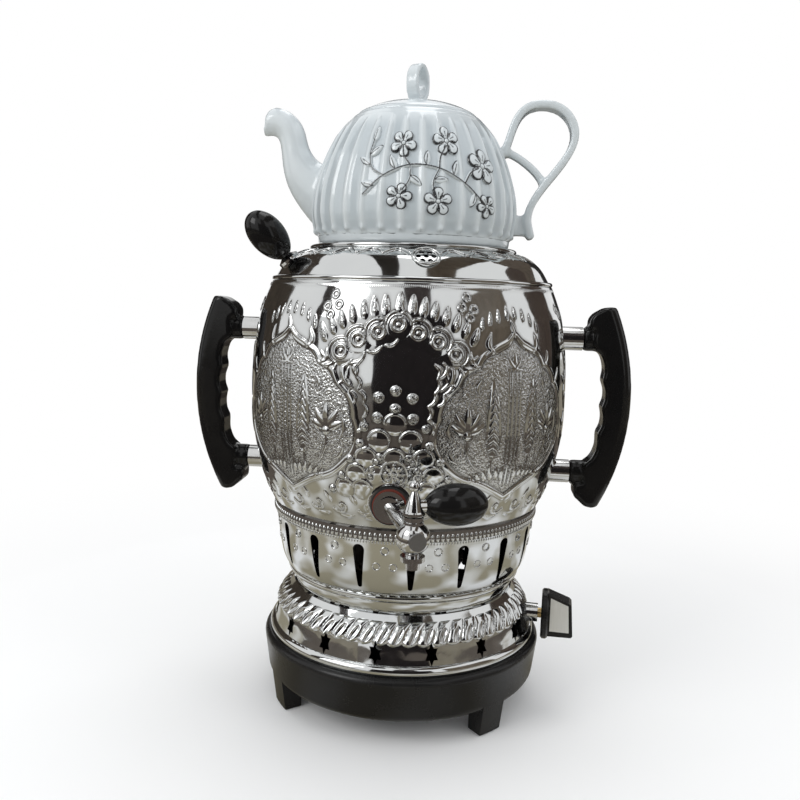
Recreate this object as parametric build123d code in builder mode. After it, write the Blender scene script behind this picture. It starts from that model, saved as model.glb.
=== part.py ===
from build123d import *
import os
from math import asin, cos, degrees, hypot, radians, sin, sqrt

# Gas-fired table samovar with a porcelain teapot on its lid. Millimetres, +Z up.
# The origin is on the vertical axis of the barrel, at the level on which the feet stand.
# The front, with the tap, is -Y. A heading is an angle about Z, counted from the front towards +X.

# ---- sheet metal and fits ----
sheet = 1.0
slip = 0.05
seat_gap = 0.3
weld_gap = 0.05

# ---- base tray ----
base_turn = -5.6
tray_top_z = 47.8
tray_seat_r = 96.2
tray_edge_r = 99.8
tray_edge_z = 43.6
tray_foot_r = 97.2
tray_curve_z = 23.5
tray_floor_z = 17.5
tray_floor_edge_r = 89.5
tray_wall = 3.2
tray_hole_r = 30.0
tray_vent_r = 8.0
tray_vent_ring_r = 56.0
tray_vents = 8
foot_out_r = 94.0
foot_in_r = 82.0
foot_width = 18.5
foot_headings = (-51.0, 51.0, 129.0, -129.0)

# ---- screws of the base ----
base_screw_ring_r = 85.0
base_screw_r = 2.0
base_boss_r = 5.0
screw_clear = 0.2
screw_head_r = 3.8
screw_head_t = 2.4
nut_across = 7.0
nut_t = 3.2

# ---- foot collar ----
collar_rim_r = 96.1
collar_rim_rise = 2.8
collar_rim_foot_r = 95.2
collar_cone_r = 92.9
collar_cone_z = 54.5
collar_mid_r = 91.0
collar_mid_z = 63.5
collar_rope_r = 89.2
collar_rope_z = 69.5
collar_shoulder_r = 84.4
collar_shoulder_z = 76.4
collar_neck_r = 79.4
collar_neck_z = 82.3
collar_flange_r = 80.0
collar_eye_r = 64.0
star_count = 16
star_turn = 0.6
star_height = 15.0
star_width = 8.3
star_z = 61.4

# ---- waist ring and burner skirt ----
waist_low_r = 78.0
waist_high_r = 79.6
waist_h = 8.7
skirt_rim_r = 83.4
skirt_rim_h = 4.5
skirt_low_r = 86.2
skirt_low_h = 9.0
skirt_belly_r = 88.7
skirt_belly_h = 17.0
skirt_mid_r = 90.6
skirt_mid_h = 29.0
skirt_top_r = 92.6
skirt_top_h = 43.7
skirt_band_r = 93.5
skirt_h = 51.0
skirt_lap = 7.5
skirt_turn = 8.2
slot_count = 17
slot_top_r = 3.8
slot_foot_r = 1.5
slot_top_z = 127.7
slot_foot_z = 103.5

# ---- tie rods ----
tie_count = 3
tie_r = 2.5
tie_ring_r = 72.0
tie_turn = 60.0
tie_nut_across = 8.0
tie_nut_t = 3.8
tie_end = 2.0

# ---- tank ----
seam_ring_r = 91.8
seam_ring_t = 2.0
tank_foot_r = 94.8
tank_h = 150.0
# radius and height above the barrel's foot
tank_points = (
    (97.4, 5.5),
    (101.2, 15.0),
    (105.4, 29.5),
    (108.4, 44.0),
    (109.8, 58.0),
    (110.0, 75.0),
    (109.6, 92.0),
    (108.6, 106.0),
    (106.9, 117.5),
    (104.9, 129.0),
    (101.4, 139.5),
)
tank_top_r = 97.2
tank_lip_r = 94.0
pan_r = 88.5
pan_h = 4.5
pan_t = 1.2

# ---- lid ----
lid_rim_r = 97.5
lid_rim_h = 2.8
lid_plug_r = 93.6
lid_plug_h = 7.0
lid_points = (
    (94.6, 3.0),
    (92.9, 6.0),
    (90.6, 9.8),
    (87.6, 13.4),
    (83.6, 16.5),
    (78.6, 19.0),
)
lid_top_r = 71.5
lid_top_h = 21.2
lid_eye_r = 60.0
lid_turn = 10.4
vent_r = 1.6
vent_ring_r = 4.7
vent_place_r = 85.2
ring_out_r = 72.0
ring_in_r = 62.0
ring_h = 3.0
knob_heading = -66.0
knob_tilt = 43.0
knob_place_r = 87.6
knob_flange_r = 7.4
knob_neck_r = 3.9
knob_neck_h = 3.0
egg_long = 36.0
egg_wide = 23.6
knob_screw_r = 2.0
knob_screw_depth = 14.0
knob_screw_below = 5.0

# ---- teapot ----
pot_foot_r = 66.4
pot_foot_in_r = 60.4
pot_foot_rise = 2.0
pot_points = (
    (67.0, 8.0),
    (68.9, 14.5),
    (69.7, 22.5),
    (68.7, 33.4),
    (66.3, 43.4),
    (62.1, 55.9),
    (56.5, 67.9),
    (49.4, 79.8),
)
pot_top_r = 42.4
pot_top_h = 87.3
pot_wall = 4.0
pot_floor = 5.0
pot_mouth_r = 33.0
pot_step_r = 42.0
pot_step_h = 3.0
pot_lid_h = 11.4
pot_lid_wall = 4.0
pot_lid_plug_h = 9.0
pot_lid_play = 0.6
pot_loop_h = 26.0
pot_loop_w = 18.0
pot_loop_t = 3.2
pot_loop_band = 9.0
pot_loop_turn = 27.0
handle_t = 5.0
handle_w = 15.0
strut_w = 10.0
handle_foot_r = 78.5
low_strut_h = 17.0
low_strut_t = 13.5
spout_wall = 3.2

# ---- side grips ----
grip_low_z = 165.5
grip_high_z = 259.7
grip_low_r = 115.8
grip_high_r = 120.4
grip_post_r = 8.4
ferrule_r = 8.1
grip_out_r = 155.2
grip_w = 20.0
grip_chamfer = 4.0
grip_end_low_z = 141.0
grip_end_high_z = 282.2
scallop_count = 4
scallop_depth = 3.0
stud_r = 3.0
stud_depth = 12.0
stud_inside = 8.0
stud_nut_across = 10.0
stud_nut_t = 5.0
washer_r = 7.0
washer_t = 1.2

# ---- tap ----
tap_z = 160.7
tap_boss_r = 12.5
tap_boss_y = 102.8
tap_boss_depth = 6.0
tap_rubber_r = 11.6
tap_rubber_t = 2.0
tap_fibre_r = 10.6
tap_fibre_t = 1.0
tap_flange_r = 9.8
tap_flange_t = 2.2
tap_step_r = 6.6
tap_step_t = 2.2
tap_shank_r = 4.5
tap_shank_inside = 14.0
tap_pipe_r = 4.0
tap_bore_r = 2.2
tap_reach_x = 17.6
tap_reach_y = 144.0
tap_drop = 6.2
tap_ball_r = 9.6
tap_face_r = 4.9
tap_face_heading = 20.0
tap_face_start = 6.6
tap_plug_r = 3.6
tap_neck_r = 5.6
tap_neck_h = 12.0
tap_spout_ring_r = 6.9
tap_spout_ring_h = 4.0
tap_spout_r = 4.1
tap_spout_drop = 17.6
tap_nut_across = 15.0
tap_nut_t = 5.0
key_cone_r = 6.2
key_cone_h = 12.0
key_ball_r = 3.1
key_gap = 0.3
key_handle_heading = 110.0
key_pin_r = 2.0
key_boss_r = 3.6
key_boss_reach = 6.4

# ---- gas valve, feed pipe and inlet ----
valve_z = 63.0
valve_r = 8.0
valve_start = 57.0
valve_end = 85.0
valve_neck_r = 5.0
valve_neck_end = 99.2
valve_chamber_r = 6.0
valve_chamber_start = 61.0
valve_chamber_end = 82.0
sleeve_r = 6.5
sleeve_end = 99.4
bezel_w = 36.0
bezel_h = 20.0
bezel_t = 1.2
lock_nut_across = 13.0
lock_nut_t = 2.4
plug_bore_r = 4.0
plug_floor_start = 72.0
plug_end = 75.6
low_port_r = 0.8
square = 4.4
square_tail = 7.0
stem_r = 3.5
stem_collar_r = 5.4
stem_collar_t = 1.6
stem_grip = 9.0
push_travel = 2.2
spring_wire_r = 0.4
spring_turns = 2.5
jet_r = 4.0
jet_length = 7.0
jet_bore_r = 0.6
knob_start = 102.0
knob_disc_r = 17.6
knob_disc_t = 5.0
knob_depth = 22.5
knob_bar_w = 13.0
knob_bar_low = 14.5
knob_bar_high_in = 16.5
knob_bar_high_out = 9.5
plate_t = 0.8
plate_border = 2.6
feed_bend_r = 30.0
feed_run = 68.0
feed_r = 3.0
feed_bore_r = 2.0
inlet_body_r = 6.0
inlet_body_start = 58.0
inlet_body_end = 80.0
inlet_neck_end = 99.5
inlet_nut_start = 95.6
inlet_nut_t = 3.4
standpipe_r = 4.0
standpipe_end = 127.0
hose_r = 4.9
hose_length = 23.5
hose_tip = 1.5
hose_bead_r = 5.6
hose_bead_t = 1.5
hose_bore_r = 2.4

# ---- burner ----
plate_r = 91.0
burner_plate_t = 1.2
plate_hole_r = 7.0
plate_hole_ring_r = 56.0
plate_holes = 8
burner_flange_r = 26.0
burner_flange_t = 3.0
burner_column_r = 11.0
burner_tube_r = 9.0
burner_tube_wall = 2.0
burner_mouth_gap = 3.0
burner_bowl_r = 42.0
burner_bowl_z = 83.5
burner_bowl_h = 13.0
burner_wall = 3.0
burner_cap_h = 6.0
burner_cap_overhang = 2.0
port_count = 28
port_w = 2.0
burner_screws_count = 3
burner_screw_ring_r = 20.0

parts = []


# ================ helpers ================
def heading(turn):
    """Unit vector of a heading, level with the ground."""
    return Vector(sin(radians(turn)), -cos(radians(turn)), 0)


def section(turn, height=0.0):
    """Plane through the vertical axis: local x runs outwards along the heading, local y runs up."""
    out = heading(turn)
    return Plane(origin=(0, 0, height), x_dir=out, z_dir=out.cross(Vector(0, 0, 1)))


def facing(turn, reach, height):
    """Plane that faces outwards along a heading: local x level, local y up."""
    out = heading(turn)
    side = Vector(0, 0, 1).cross(out)
    return Plane(origin=out * reach + Vector(0, 0, height), x_dir=side, z_dir=out)


def level(turn, height):
    """Level plane whose local x runs along a heading."""
    return Plane(origin=(0, 0, height), x_dir=heading(turn), z_dir=(0, 0, 1))


def radial_axis(turn, height):
    return Axis((0, 0, height), heading(turn))


def aside(points, distance):
    """The points of a profile moved sideways, to the right of its direction for a positive distance."""
    moved = []
    for i, (x, y) in enumerate(points):
        x0, y0 = points[max(i - 1, 0)]
        x1, y1 = points[min(i + 1, len(points) - 1)]
        run = hypot(x1 - x0, y1 - y0)
        moved.append((x + distance * (y1 - y0) / run, y - distance * (x1 - x0) / run))
    return moved


def radius_at(points, height):
    """Radius of a profile at a height, by straight lines between its points."""
    for (r0, z0), (r1, z1) in zip(points, points[1:]):
        if min(z0, z1) <= height <= max(z0, z1):
            return r0 + (r1 - r0) * (height - z0) / (z1 - z0)
    return points[-1][0]


def finish(piece, name):
    piece.part.label = name
    parts.append((piece, name))


# ================ levels and profiles worked out from the sizes ================
collar_flange_z = tray_top_z
collar_rim_z = collar_flange_z + collar_rim_rise
plate_z = collar_flange_z + sheet
plate_top_z = plate_z + burner_plate_t
waist_z = collar_neck_z
skirt_z = waist_z + waist_h
seam_z = skirt_z + skirt_h
tank_z = seam_z + seam_ring_t
tank_top_z = tank_z + tank_h
lid_z = tank_top_z + seat_gap
ring_z = lid_z + lid_top_h
pot_z = ring_z + ring_h + seat_gap
pot_lid_z = pot_z + pot_top_h
gas_heading = 90.0 + base_turn
inlet_heading = 180.0 + base_turn

collar_side = [
    (collar_cone_r, collar_cone_z),
    (collar_mid_r, collar_mid_z),
    (collar_rope_r, collar_rope_z),
    (collar_shoulder_r, collar_shoulder_z),
    (collar_neck_r, collar_neck_z),
]
skirt_side = [
    (skirt_rim_r, skirt_z + skirt_rim_h),
    (skirt_low_r, skirt_z + skirt_low_h),
    (skirt_belly_r, skirt_z + skirt_belly_h),
    (skirt_mid_r, skirt_z + skirt_mid_h),
    (skirt_top_r, skirt_z + skirt_top_h),
]
tank_side = [(tank_foot_r, tank_z)]
tank_side += [(r, tank_z + h) for r, h in tank_points]
tank_side += [(tank_top_r, tank_top_z)]
lid_side = [(r, lid_z + h) for r, h in lid_points] + [(lid_top_r, ring_z)]
pot_side = [(pot_foot_r, pot_z + pot_foot_rise)]
pot_side += [(r, pot_z + h) for r, h in pot_points] + [(pot_top_r, pot_lid_z)]

base_screw_headings = [base_turn + 45 + 90 * i for i in range(4)]
tie_headings = [tie_turn + 360 / tie_count * i for i in range(tie_count)]


def mass_inside(profile, extra):
    """Closed outline of everything between the axis and a profile grown by extra."""
    edge = aside(profile, extra)
    Spline(*edge)
    Polyline(edge[-1], (0, edge[-1][1]), (0, edge[0][1]), edge[0])


def on_lid(place):
    """Height of the lid's outer face at a radius, and how far its normal leans outwards there."""
    for (r0, z0), (r1, z1) in zip(lid_side, lid_side[1:]):
        if r1 <= place <= r0:
            lean = degrees(asin((z1 - z0) / hypot(r1 - r0, z1 - z0)))
            return z0 + (z1 - z0) * (r0 - place) / (r0 - r1), lean


# ================ base tray: one moulding with four feet ================
with BuildPart() as base_tray:
    with BuildSketch(Plane.XZ):
        with BuildLine():
            inner_r = tray_foot_r - tray_wall
            Polyline((tray_hole_r, tray_floor_z), (tray_floor_edge_r, tray_floor_z))
            ThreePointArc(
                (tray_floor_edge_r, tray_floor_z),
                (tray_foot_r - 2.0, tray_floor_z + 1.6),
                (tray_foot_r, tray_curve_z),
            )
            Line((tray_foot_r, tray_curve_z), (tray_edge_r, tray_edge_z))
            ThreePointArc(
                (tray_edge_r, tray_edge_z),
                (tray_edge_r - 0.9, tray_edge_z + 2.8),
                (tray_seat_r, tray_top_z),
            )
            Polyline(
                (tray_seat_r, tray_top_z),
                (tray_edge_r - tray_wall - 2.0, tray_top_z),
                (inner_r, tray_curve_z),
                (tray_floor_edge_r, tray_floor_z + tray_wall),
                (tray_hole_r, tray_floor_z + tray_wall),
                (tray_hole_r, tray_floor_z),
            )
        make_face()
    revolve(axis=Axis.Z)
    foot_arc = degrees(foot_width / foot_out_r)
    for foot_heading in foot_headings:
        with BuildSketch(section(base_turn + foot_heading - foot_arc / 2)):
            with BuildLine():
                Polyline(
                    (foot_in_r, 0),
                    (foot_out_r, 0),
                    (tray_foot_r - 0.1, tray_curve_z - 1.0),
                    (inner_r, tray_curve_z - 1.0),
                    (tray_floor_edge_r, tray_floor_z + tray_wall / 2),
                    (foot_in_r, tray_floor_z + tray_wall / 2),
                    close=True,
                )
            make_face()
        revolve(axis=Axis.Z, revolution_arc=foot_arc)
    for screw_heading in base_screw_headings:
        with BuildSketch(level(screw_heading, tray_floor_z + tray_wall / 2)):
            with Locations((base_screw_ring_r, 0)):
                Circle(base_boss_r)
        extrude(amount=tray_top_z - tray_floor_z - tray_wall / 2)
    with BuildSketch(level(base_turn, tray_floor_z - 1)):
        with PolarLocations(tray_vent_ring_r, tray_vents):
            Circle(tray_vent_r)
    extrude(amount=tray_wall + 2, mode=Mode.SUBTRACT)
    for screw_heading in base_screw_headings:
        with BuildSketch(level(screw_heading, tray_floor_z - 1)):
            with Locations((base_screw_ring_r, 0)):
                Circle(base_screw_r + screw_clear)
        extrude(amount=tray_top_z, mode=Mode.SUBTRACT)
        with BuildSketch(level(screw_heading, tray_floor_z - 1)):
            with Locations((base_screw_ring_r, 0)):
                Circle(screw_head_r + screw_clear)
        extrude(amount=screw_head_t + 1.5, mode=Mode.SUBTRACT)
    soles = base_tray.faces().filter_by(Plane.XY).group_by(Axis.Z)[0]
    chamfer(soles.edges(), 0.8)
finish(base_tray, "base_tray")

screw_head_z = tray_floor_z + 0.5
with BuildPart() as base_screws:
    for screw_heading in base_screw_headings:
        with BuildSketch(level(screw_heading, screw_head_z)):
            with Locations((base_screw_ring_r, 0)):
                Circle(screw_head_r)
        extrude(amount=screw_head_t)
        with BuildSketch(level(screw_heading, screw_head_z)):
            with Locations((base_screw_ring_r, 0)):
                Circle(base_screw_r)
        extrude(amount=plate_top_z + nut_t + 1.5 - screw_head_z)
finish(base_screws, "base_screws")

with BuildPart() as base_nuts:
    for screw_heading in base_screw_headings:
        with BuildSketch(level(screw_heading, plate_top_z)):
            with Locations((base_screw_ring_r, 0)):
                RegularPolygon(nut_across / 2, 6, major_radius=False)
                Circle(base_screw_r + slip, mode=Mode.SUBTRACT)
        extrude(amount=nut_t)
finish(base_nuts, "base_nuts")

# ================ foot collar: spun sheet with star-shaped air holes ================
with BuildPart() as foot_collar:
    with BuildSketch(Plane.XZ):
        with BuildLine():
            inside = aside(collar_side, -sheet)
            neck_under = collar_neck_z - sheet
            inside[-1] = (collar_neck_r - sheet, neck_under)
            ThreePointArc(
                (collar_rim_foot_r, collar_flange_z),
                (collar_rim_r, collar_rim_z),
                (collar_cone_r, collar_cone_z),
            )
            Spline(*collar_side)
            Polyline(
                collar_side[-1],
                (collar_eye_r, collar_neck_z),
                (collar_eye_r, neck_under),
                inside[-1],
            )
            Spline(*reversed(inside))
            ThreePointArc(
                inside[0],
                (collar_rim_r - sheet, collar_rim_z),
                (collar_rim_foot_r - sheet, plate_z),
            )
            Polyline(
                (collar_rim_foot_r - sheet, plate_z),
                (collar_flange_r, plate_z),
                (collar_flange_r, collar_flange_z),
                (collar_rim_foot_r, collar_flange_z),
            )
        make_face()
    revolve(axis=Axis.Z)
    star_squeeze = star_width / (star_height * cos(radians(30)))
    star_points = []
    for i in range(12):
        reach = star_height / 2 if i % 2 == 0 else star_height / 2 / sqrt(3)
        turn = radians(90 + 30 * i)
        star_points.append((reach * cos(turn) * star_squeeze, reach * sin(turn)))
    for i in range(star_count):
        # the two places taken by the valve and by the gas inlet
        if i in (star_count // 4, star_count // 2):
            continue
        with BuildSketch(facing(base_turn + star_turn + 360 / star_count * i, collar_neck_r, star_z)):
            Polygon(*star_points, align=None)
        extrude(amount=collar_rim_r - collar_neck_r + 5, mode=Mode.SUBTRACT)
    for valve_heading in (gas_heading, inlet_heading):
        with BuildSketch(facing(valve_heading, collar_neck_r, valve_z)):
            Circle(valve_neck_r + screw_clear)
        extrude(amount=collar_rim_r - collar_neck_r + 5, mode=Mode.SUBTRACT)
    for screw_heading in base_screw_headings:
        with BuildSketch(level(screw_heading, collar_flange_z - 1)):
            with Locations((base_screw_ring_r, 0)):
                Circle(base_screw_r + screw_clear)
        extrude(amount=sheet + 2, mode=Mode.SUBTRACT)
    for rod_heading in tie_headings:
        with BuildSketch(level(rod_heading, collar_neck_z - sheet - 1)):
            with Locations((tie_ring_r, 0)):
                Circle(tie_r + screw_clear)
        extrude(amount=sheet + 2, mode=Mode.SUBTRACT)
finish(foot_collar, "foot_collar")

# ================ burner plate and burner ================
with BuildPart() as burner_plate:
    with BuildSketch(level(base_turn, plate_z)):
        Circle(plate_r)
        Circle(burner_column_r, mode=Mode.SUBTRACT)
        with PolarLocations(plate_hole_ring_r, plate_holes):
            Circle(plate_hole_r, mode=Mode.SUBTRACT)
        with PolarLocations(base_screw_ring_r, 4, start_angle=45):
            Circle(base_screw_r + screw_clear, mode=Mode.SUBTRACT)
        with PolarLocations(burner_screw_ring_r, burner_screws_count, start_angle=60):
            Circle(base_screw_r + slip, mode=Mode.SUBTRACT)
    extrude(amount=burner_plate_t)
finish(burner_plate, "burner_plate")

jet_end = valve_start - jet_length
tube_mouth = jet_end - burner_mouth_gap
with BuildPart() as burner_body:
    with BuildSketch(level(base_turn, plate_top_z)):
        Circle(burner_flange_r)
    extrude(amount=burner_flange_t)
    with BuildSketch(Plane.XY.offset(plate_top_z)):
        Circle(burner_column_r)
    extrude(amount=burner_bowl_z - plate_top_z + burner_wall)
    with BuildSketch(facing(gas_heading, 0, valve_z)):
        Circle(burner_tube_r)
    extrude(amount=tube_mouth)
    with BuildSketch(Plane.XZ):
        with BuildLine():
            Polyline(
                (0, burner_bowl_z),
                (burner_column_r, burner_bowl_z),
                (burner_bowl_r, burner_bowl_z + burner_bowl_h - burner_wall),
                (burner_bowl_r, burner_bowl_z + burner_bowl_h),
                (0, burner_bowl_z + burner_bowl_h),
                close=True,
            )
        make_face()
    revolve(axis=Axis.Z)
    with BuildSketch(Plane.XZ):
        with BuildLine():
            bowl_in_r = burner_bowl_r - burner_wall
            column_in_r = burner_column_r - burner_wall
            Polyline(
                (0, plate_top_z + burner_flange_t + 1),
                (column_in_r, plate_top_z + burner_flange_t + 1),
                (column_in_r, burner_bowl_z + burner_wall),
                (bowl_in_r, burner_bowl_z + burner_bowl_h - 1),
                (bowl_in_r, burner_bowl_z + burner_bowl_h + 1),
                (0, burner_bowl_z + burner_bowl_h + 1),
                close=True,
            )
        make_face()
    revolve(axis=Axis.Z, mode=Mode.SUBTRACT)
    with BuildSketch(facing(gas_heading, 0, valve_z)):
        Circle(burner_tube_r - burner_tube_wall)
    extrude(amount=tube_mouth + 1, mode=Mode.SUBTRACT)
    for i in range(burner_screws_count):
        with BuildSketch(level(base_turn + 60 + 360 / burner_screws_count * i, plate_top_z - 1)):
            with Locations((burner_screw_ring_r, 0)):
                Circle(base_screw_r + screw_clear)
        extrude(amount=burner_flange_t + 2, mode=Mode.SUBTRACT)
finish(burner_body, "burner_body")

with BuildPart() as burner_screws:
    for i in range(burner_screws_count):
        turn = base_turn + 60 + 360 / burner_screws_count * i
        with BuildSketch(level(turn, plate_z - 2)):
            with Locations((burner_screw_ring_r, 0)):
                Circle(base_screw_r)
        extrude(amount=burner_plate_t + burner_flange_t + 2)
        with BuildSketch(level(turn, plate_top_z + burner_flange_t)):
            with Locations((burner_screw_ring_r, 0)):
                Circle(screw_head_r)
        extrude(amount=screw_head_t)
finish(burner_screws, "burner_screws")

cap_z = burner_bowl_z + burner_bowl_h
with BuildPart() as burner_cap:
    with BuildSketch(Plane.XZ):
        with BuildLine():
            cap_r = burner_bowl_r + burner_cap_overhang
            Polyline(
                (0, cap_z + burner_cap_h),
                (cap_r * 0.55, cap_z + burner_cap_h),
                (cap_r, cap_z + burner_cap_h * 0.6),
                (cap_r, cap_z),
                (bowl_in_r, cap_z),
                (bowl_in_r, cap_z + burner_cap_h * 0.4),
                (0, cap_z + burner_cap_h - burner_wall),
                close=True,
            )
        make_face()
    revolve(axis=Axis.Z)
    for i in range(port_count):
        with BuildSketch(facing(360 / port_count * i, bowl_in_r - 2, cap_z + burner_cap_h * 0.15)):
            Rectangle(port_w, burner_cap_h * 0.5)
        extrude(amount=burner_wall + burner_cap_overhang + 4, mode=Mode.SUBTRACT)
finish(burner_cap, "burner_cap")

# ================ waist ring and burner skirt ================
with BuildPart() as waist_ring:
    with BuildSketch(Plane.XZ):
        with BuildLine():
            waist_mid_r = (waist_low_r + waist_high_r) / 2 + 0.5
            ThreePointArc(
                (waist_low_r, waist_z),
                (waist_mid_r, waist_z + waist_h / 2),
                (waist_high_r, skirt_z),
            )
            Line((waist_high_r, skirt_z), (waist_high_r - sheet, skirt_z))
            ThreePointArc(
                (waist_high_r - sheet, skirt_z),
                (waist_mid_r - sheet, waist_z + waist_h / 2),
                (waist_low_r - sheet, waist_z),
            )
            Line((waist_low_r - sheet, waist_z), (waist_low_r, waist_z))
        make_face()
    revolve(axis=Axis.Z)
finish(waist_ring, "waist_ring")

with BuildPart() as burner_skirt:
    with BuildSketch(Plane.XZ):
        with BuildLine():
            inside = aside(skirt_side, -sheet)
            rim_foot_r = waist_high_r + 1.0
            ThreePointArc(
                (rim_foot_r, skirt_z),
                (skirt_rim_r - 0.2, skirt_z + skirt_rim_h / 3),
                skirt_side[0],
            )
            Spline(*skirt_side)
            Polyline(
                skirt_side[-1],
                (skirt_band_r, skirt_z + skirt_h - skirt_lap + 1.0),
                (skirt_band_r, seam_z),
                (seam_ring_r - 6, seam_z),
                (seam_ring_r - 6, seam_z - sheet),
                (skirt_band_r - sheet, seam_z - sheet),
                (skirt_band_r - sheet, skirt_z + skirt_h - skirt_lap + 1.4),
                inside[-1],
            )
            Spline(*reversed(inside))
            Polyline(
                inside[0],
                (inside[0][0], skirt_z + sheet),
                (collar_eye_r, skirt_z + sheet),
                (collar_eye_r, skirt_z),
                (rim_foot_r, skirt_z),
            )
        make_face()
    revolve(axis=Axis.Z)
    for i in range(slot_count):
        with BuildSketch(facing(skirt_turn + 360 / slot_count * i, skirt_rim_r - 8, 0)):
            with Locations((0, slot_top_z)):
                Circle(slot_top_r)
            with Locations((0, slot_foot_z)):
                Circle(slot_foot_r)
            make_hull()
        extrude(amount=skirt_band_r - skirt_rim_r + 12, mode=Mode.SUBTRACT)
    for rod_heading in tie_headings:
        with BuildSketch(level(rod_heading, skirt_z - 1)):
            with Locations((tie_ring_r, 0)):
                Circle(tie_r + screw_clear)
        extrude(amount=sheet + 2, mode=Mode.SUBTRACT)
finish(burner_skirt, "burner_skirt")

# ================ seam ring and tie rods that clamp the stack ================
with BuildPart() as seam_ring:
    with BuildSketch(Plane.XY.offset(seam_z)):
        Circle(seam_ring_r)
        Circle(collar_eye_r, mode=Mode.SUBTRACT)
        for rod_heading in tie_headings:
            spot = heading(rod_heading) * tie_ring_r
            with Locations((spot.X, spot.Y)):
                Circle(tie_r + screw_clear, mode=Mode.SUBTRACT)
    extrude(amount=seam_ring_t)
finish(seam_ring, "seam_ring")

tie_low_nut_z = collar_neck_z - sheet - tie_nut_t
with BuildPart() as tie_rods:
    for rod_heading in tie_headings:
        with BuildSketch(level(rod_heading, tie_low_nut_z - tie_end)):
            with Locations((tie_ring_r, 0)):
                Circle(tie_r)
        extrude(amount=tank_z + pan_h - 0.5 - tie_low_nut_z + tie_end)
finish(tie_rods, "tie_rods")

with BuildPart() as tie_nuts:
    for rod_heading in tie_headings:
        for nut_z in (tie_low_nut_z, tank_z):
            with BuildSketch(level(rod_heading, nut_z)):
                with Locations((tie_ring_r, 0)):
                    RegularPolygon(tie_nut_across / 2, 6, major_radius=False)
                    Circle(tie_r + slip, mode=Mode.SUBTRACT)
            extrude(amount=tie_nut_t)
finish(tie_nuts, "tie_nuts")

# ================ tank: barrel-shaped shell with a soldered pan for its bottom ================
post_places = [
    (side, height, reach)
    for side in (-90.0, 90.0)
    for height, reach in ((grip_low_z, grip_low_r), (grip_high_z, grip_high_r))
]
with BuildPart() as tank_shell:
    with BuildSketch(Plane.XZ):
        with BuildLine():
            inside = aside(tank_side, -sheet)
            foot_in = (radius_at(inside, tank_z + sheet), tank_z + sheet)
            top_in = (radius_at(inside, tank_top_z - sheet), tank_top_z - sheet)
            Spline(*tank_side)
            Polyline(
                tank_side[-1],
                (tank_lip_r, tank_top_z),
                (tank_lip_r, tank_top_z - sheet),
                top_in,
            )
            Spline(top_in, *reversed(inside[1:-1]), foot_in)
            Polyline(
                foot_in,
                (pan_r + weld_gap, tank_z + sheet),
                (pan_r + weld_gap, tank_z),
                tank_side[0],
            )
        make_face()
    revolve(axis=Axis.Z)
    with BuildSketch(facing(0, tap_boss_y - tap_boss_depth, tap_z)):
        Circle(tap_boss_r)
    extrude(amount=tap_boss_depth)
    with BuildSketch(facing(0, tap_boss_y, tap_z)):
        Circle(tap_boss_r)
    extrude(amount=tap_boss_depth, mode=Mode.SUBTRACT)
    with BuildSketch(facing(0, tap_boss_y - 2 * tap_boss_depth, tap_z)):
        Circle(tap_shank_r + slip)
    extrude(amount=3 * tap_boss_depth, mode=Mode.SUBTRACT)
    for side, height, reach in post_places:
        with BuildSketch(facing(side, tank_foot_r - 10, height)):
            Circle(stud_r + slip)
        extrude(amount=30, mode=Mode.SUBTRACT)
finish(tank_shell, "tank_shell")

with BuildPart() as tank_pan:
    with BuildSketch(Plane.XY.offset(tank_z)):
        Circle(pan_r)
    extrude(amount=pan_h + pan_t)
    with BuildSketch(Plane.XY.offset(tank_z)):
        Circle(pan_r - pan_t)
    extrude(amount=pan_h, mode=Mode.SUBTRACT)
finish(tank_pan, "tank_pan")

# ================ lid, teapot ring and lid knob ================
vent_z, vent_lean = on_lid(vent_place_r)
vent_out = heading(lid_turn)
vent_normal = vent_out * sin(radians(vent_lean)) + Vector(0, 0, cos(radians(vent_lean)))
vent_plane = Plane(
    origin=vent_out * vent_place_r + Vector(0, 0, vent_z),
    x_dir=vent_out.cross(Vector(0, 0, 1)),
    z_dir=vent_normal,
)
knob_z = on_lid(knob_place_r)[0]
knob_out = heading(knob_heading)
knob_up = knob_out * sin(radians(knob_tilt)) + Vector(0, 0, cos(radians(knob_tilt)))
knob_spot = knob_out * knob_place_r + Vector(0, 0, knob_z)
knob_side = knob_out.cross(Vector(0, 0, 1))
knob_level = Plane(origin=knob_spot, x_dir=knob_side, z_dir=knob_up)
knob_section = Plane(origin=knob_spot, x_dir=knob_up, z_dir=knob_side)
with BuildPart() as lid_dome:
    with BuildSketch(Plane.XZ):
        with BuildLine():
            inside = aside(lid_side, -sheet)
            inside[-1] = (lid_top_r, ring_z - sheet)
            ThreePointArc(
                (lid_rim_r - 0.8, lid_z),
                (lid_rim_r, lid_z + lid_rim_h * 0.5),
                (lid_rim_r - 1.0, lid_z + lid_rim_h),
            )
            Line((lid_rim_r - 1.0, lid_z + lid_rim_h), lid_side[0])
            Spline(*lid_side)
            Polyline(
                lid_side[-1],
                (lid_eye_r, ring_z),
                (lid_eye_r, ring_z - sheet),
                inside[-1],
            )
            Spline(*reversed(inside))
            Polyline(
                inside[0],
                (lid_plug_r - sheet, lid_z + 2 * sheet),
                (lid_plug_r - sheet, lid_z - lid_plug_h),
                (lid_plug_r, lid_z - lid_plug_h),
                (lid_plug_r, lid_z),
                (lid_rim_r - 0.8, lid_z),
            )
        make_face()
    revolve(axis=Axis.Z)
    with BuildSketch(vent_plane.offset(-4 * sheet)):
        Circle(vent_r)
        with PolarLocations(vent_ring_r, 6):
            Circle(vent_r)
    extrude(amount=8 * sheet, mode=Mode.SUBTRACT)
    with BuildSketch(knob_level.offset(-6 * sheet)):
        Circle(knob_screw_r + screw_clear)
    extrude(amount=12 * sheet, mode=Mode.SUBTRACT)
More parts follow.
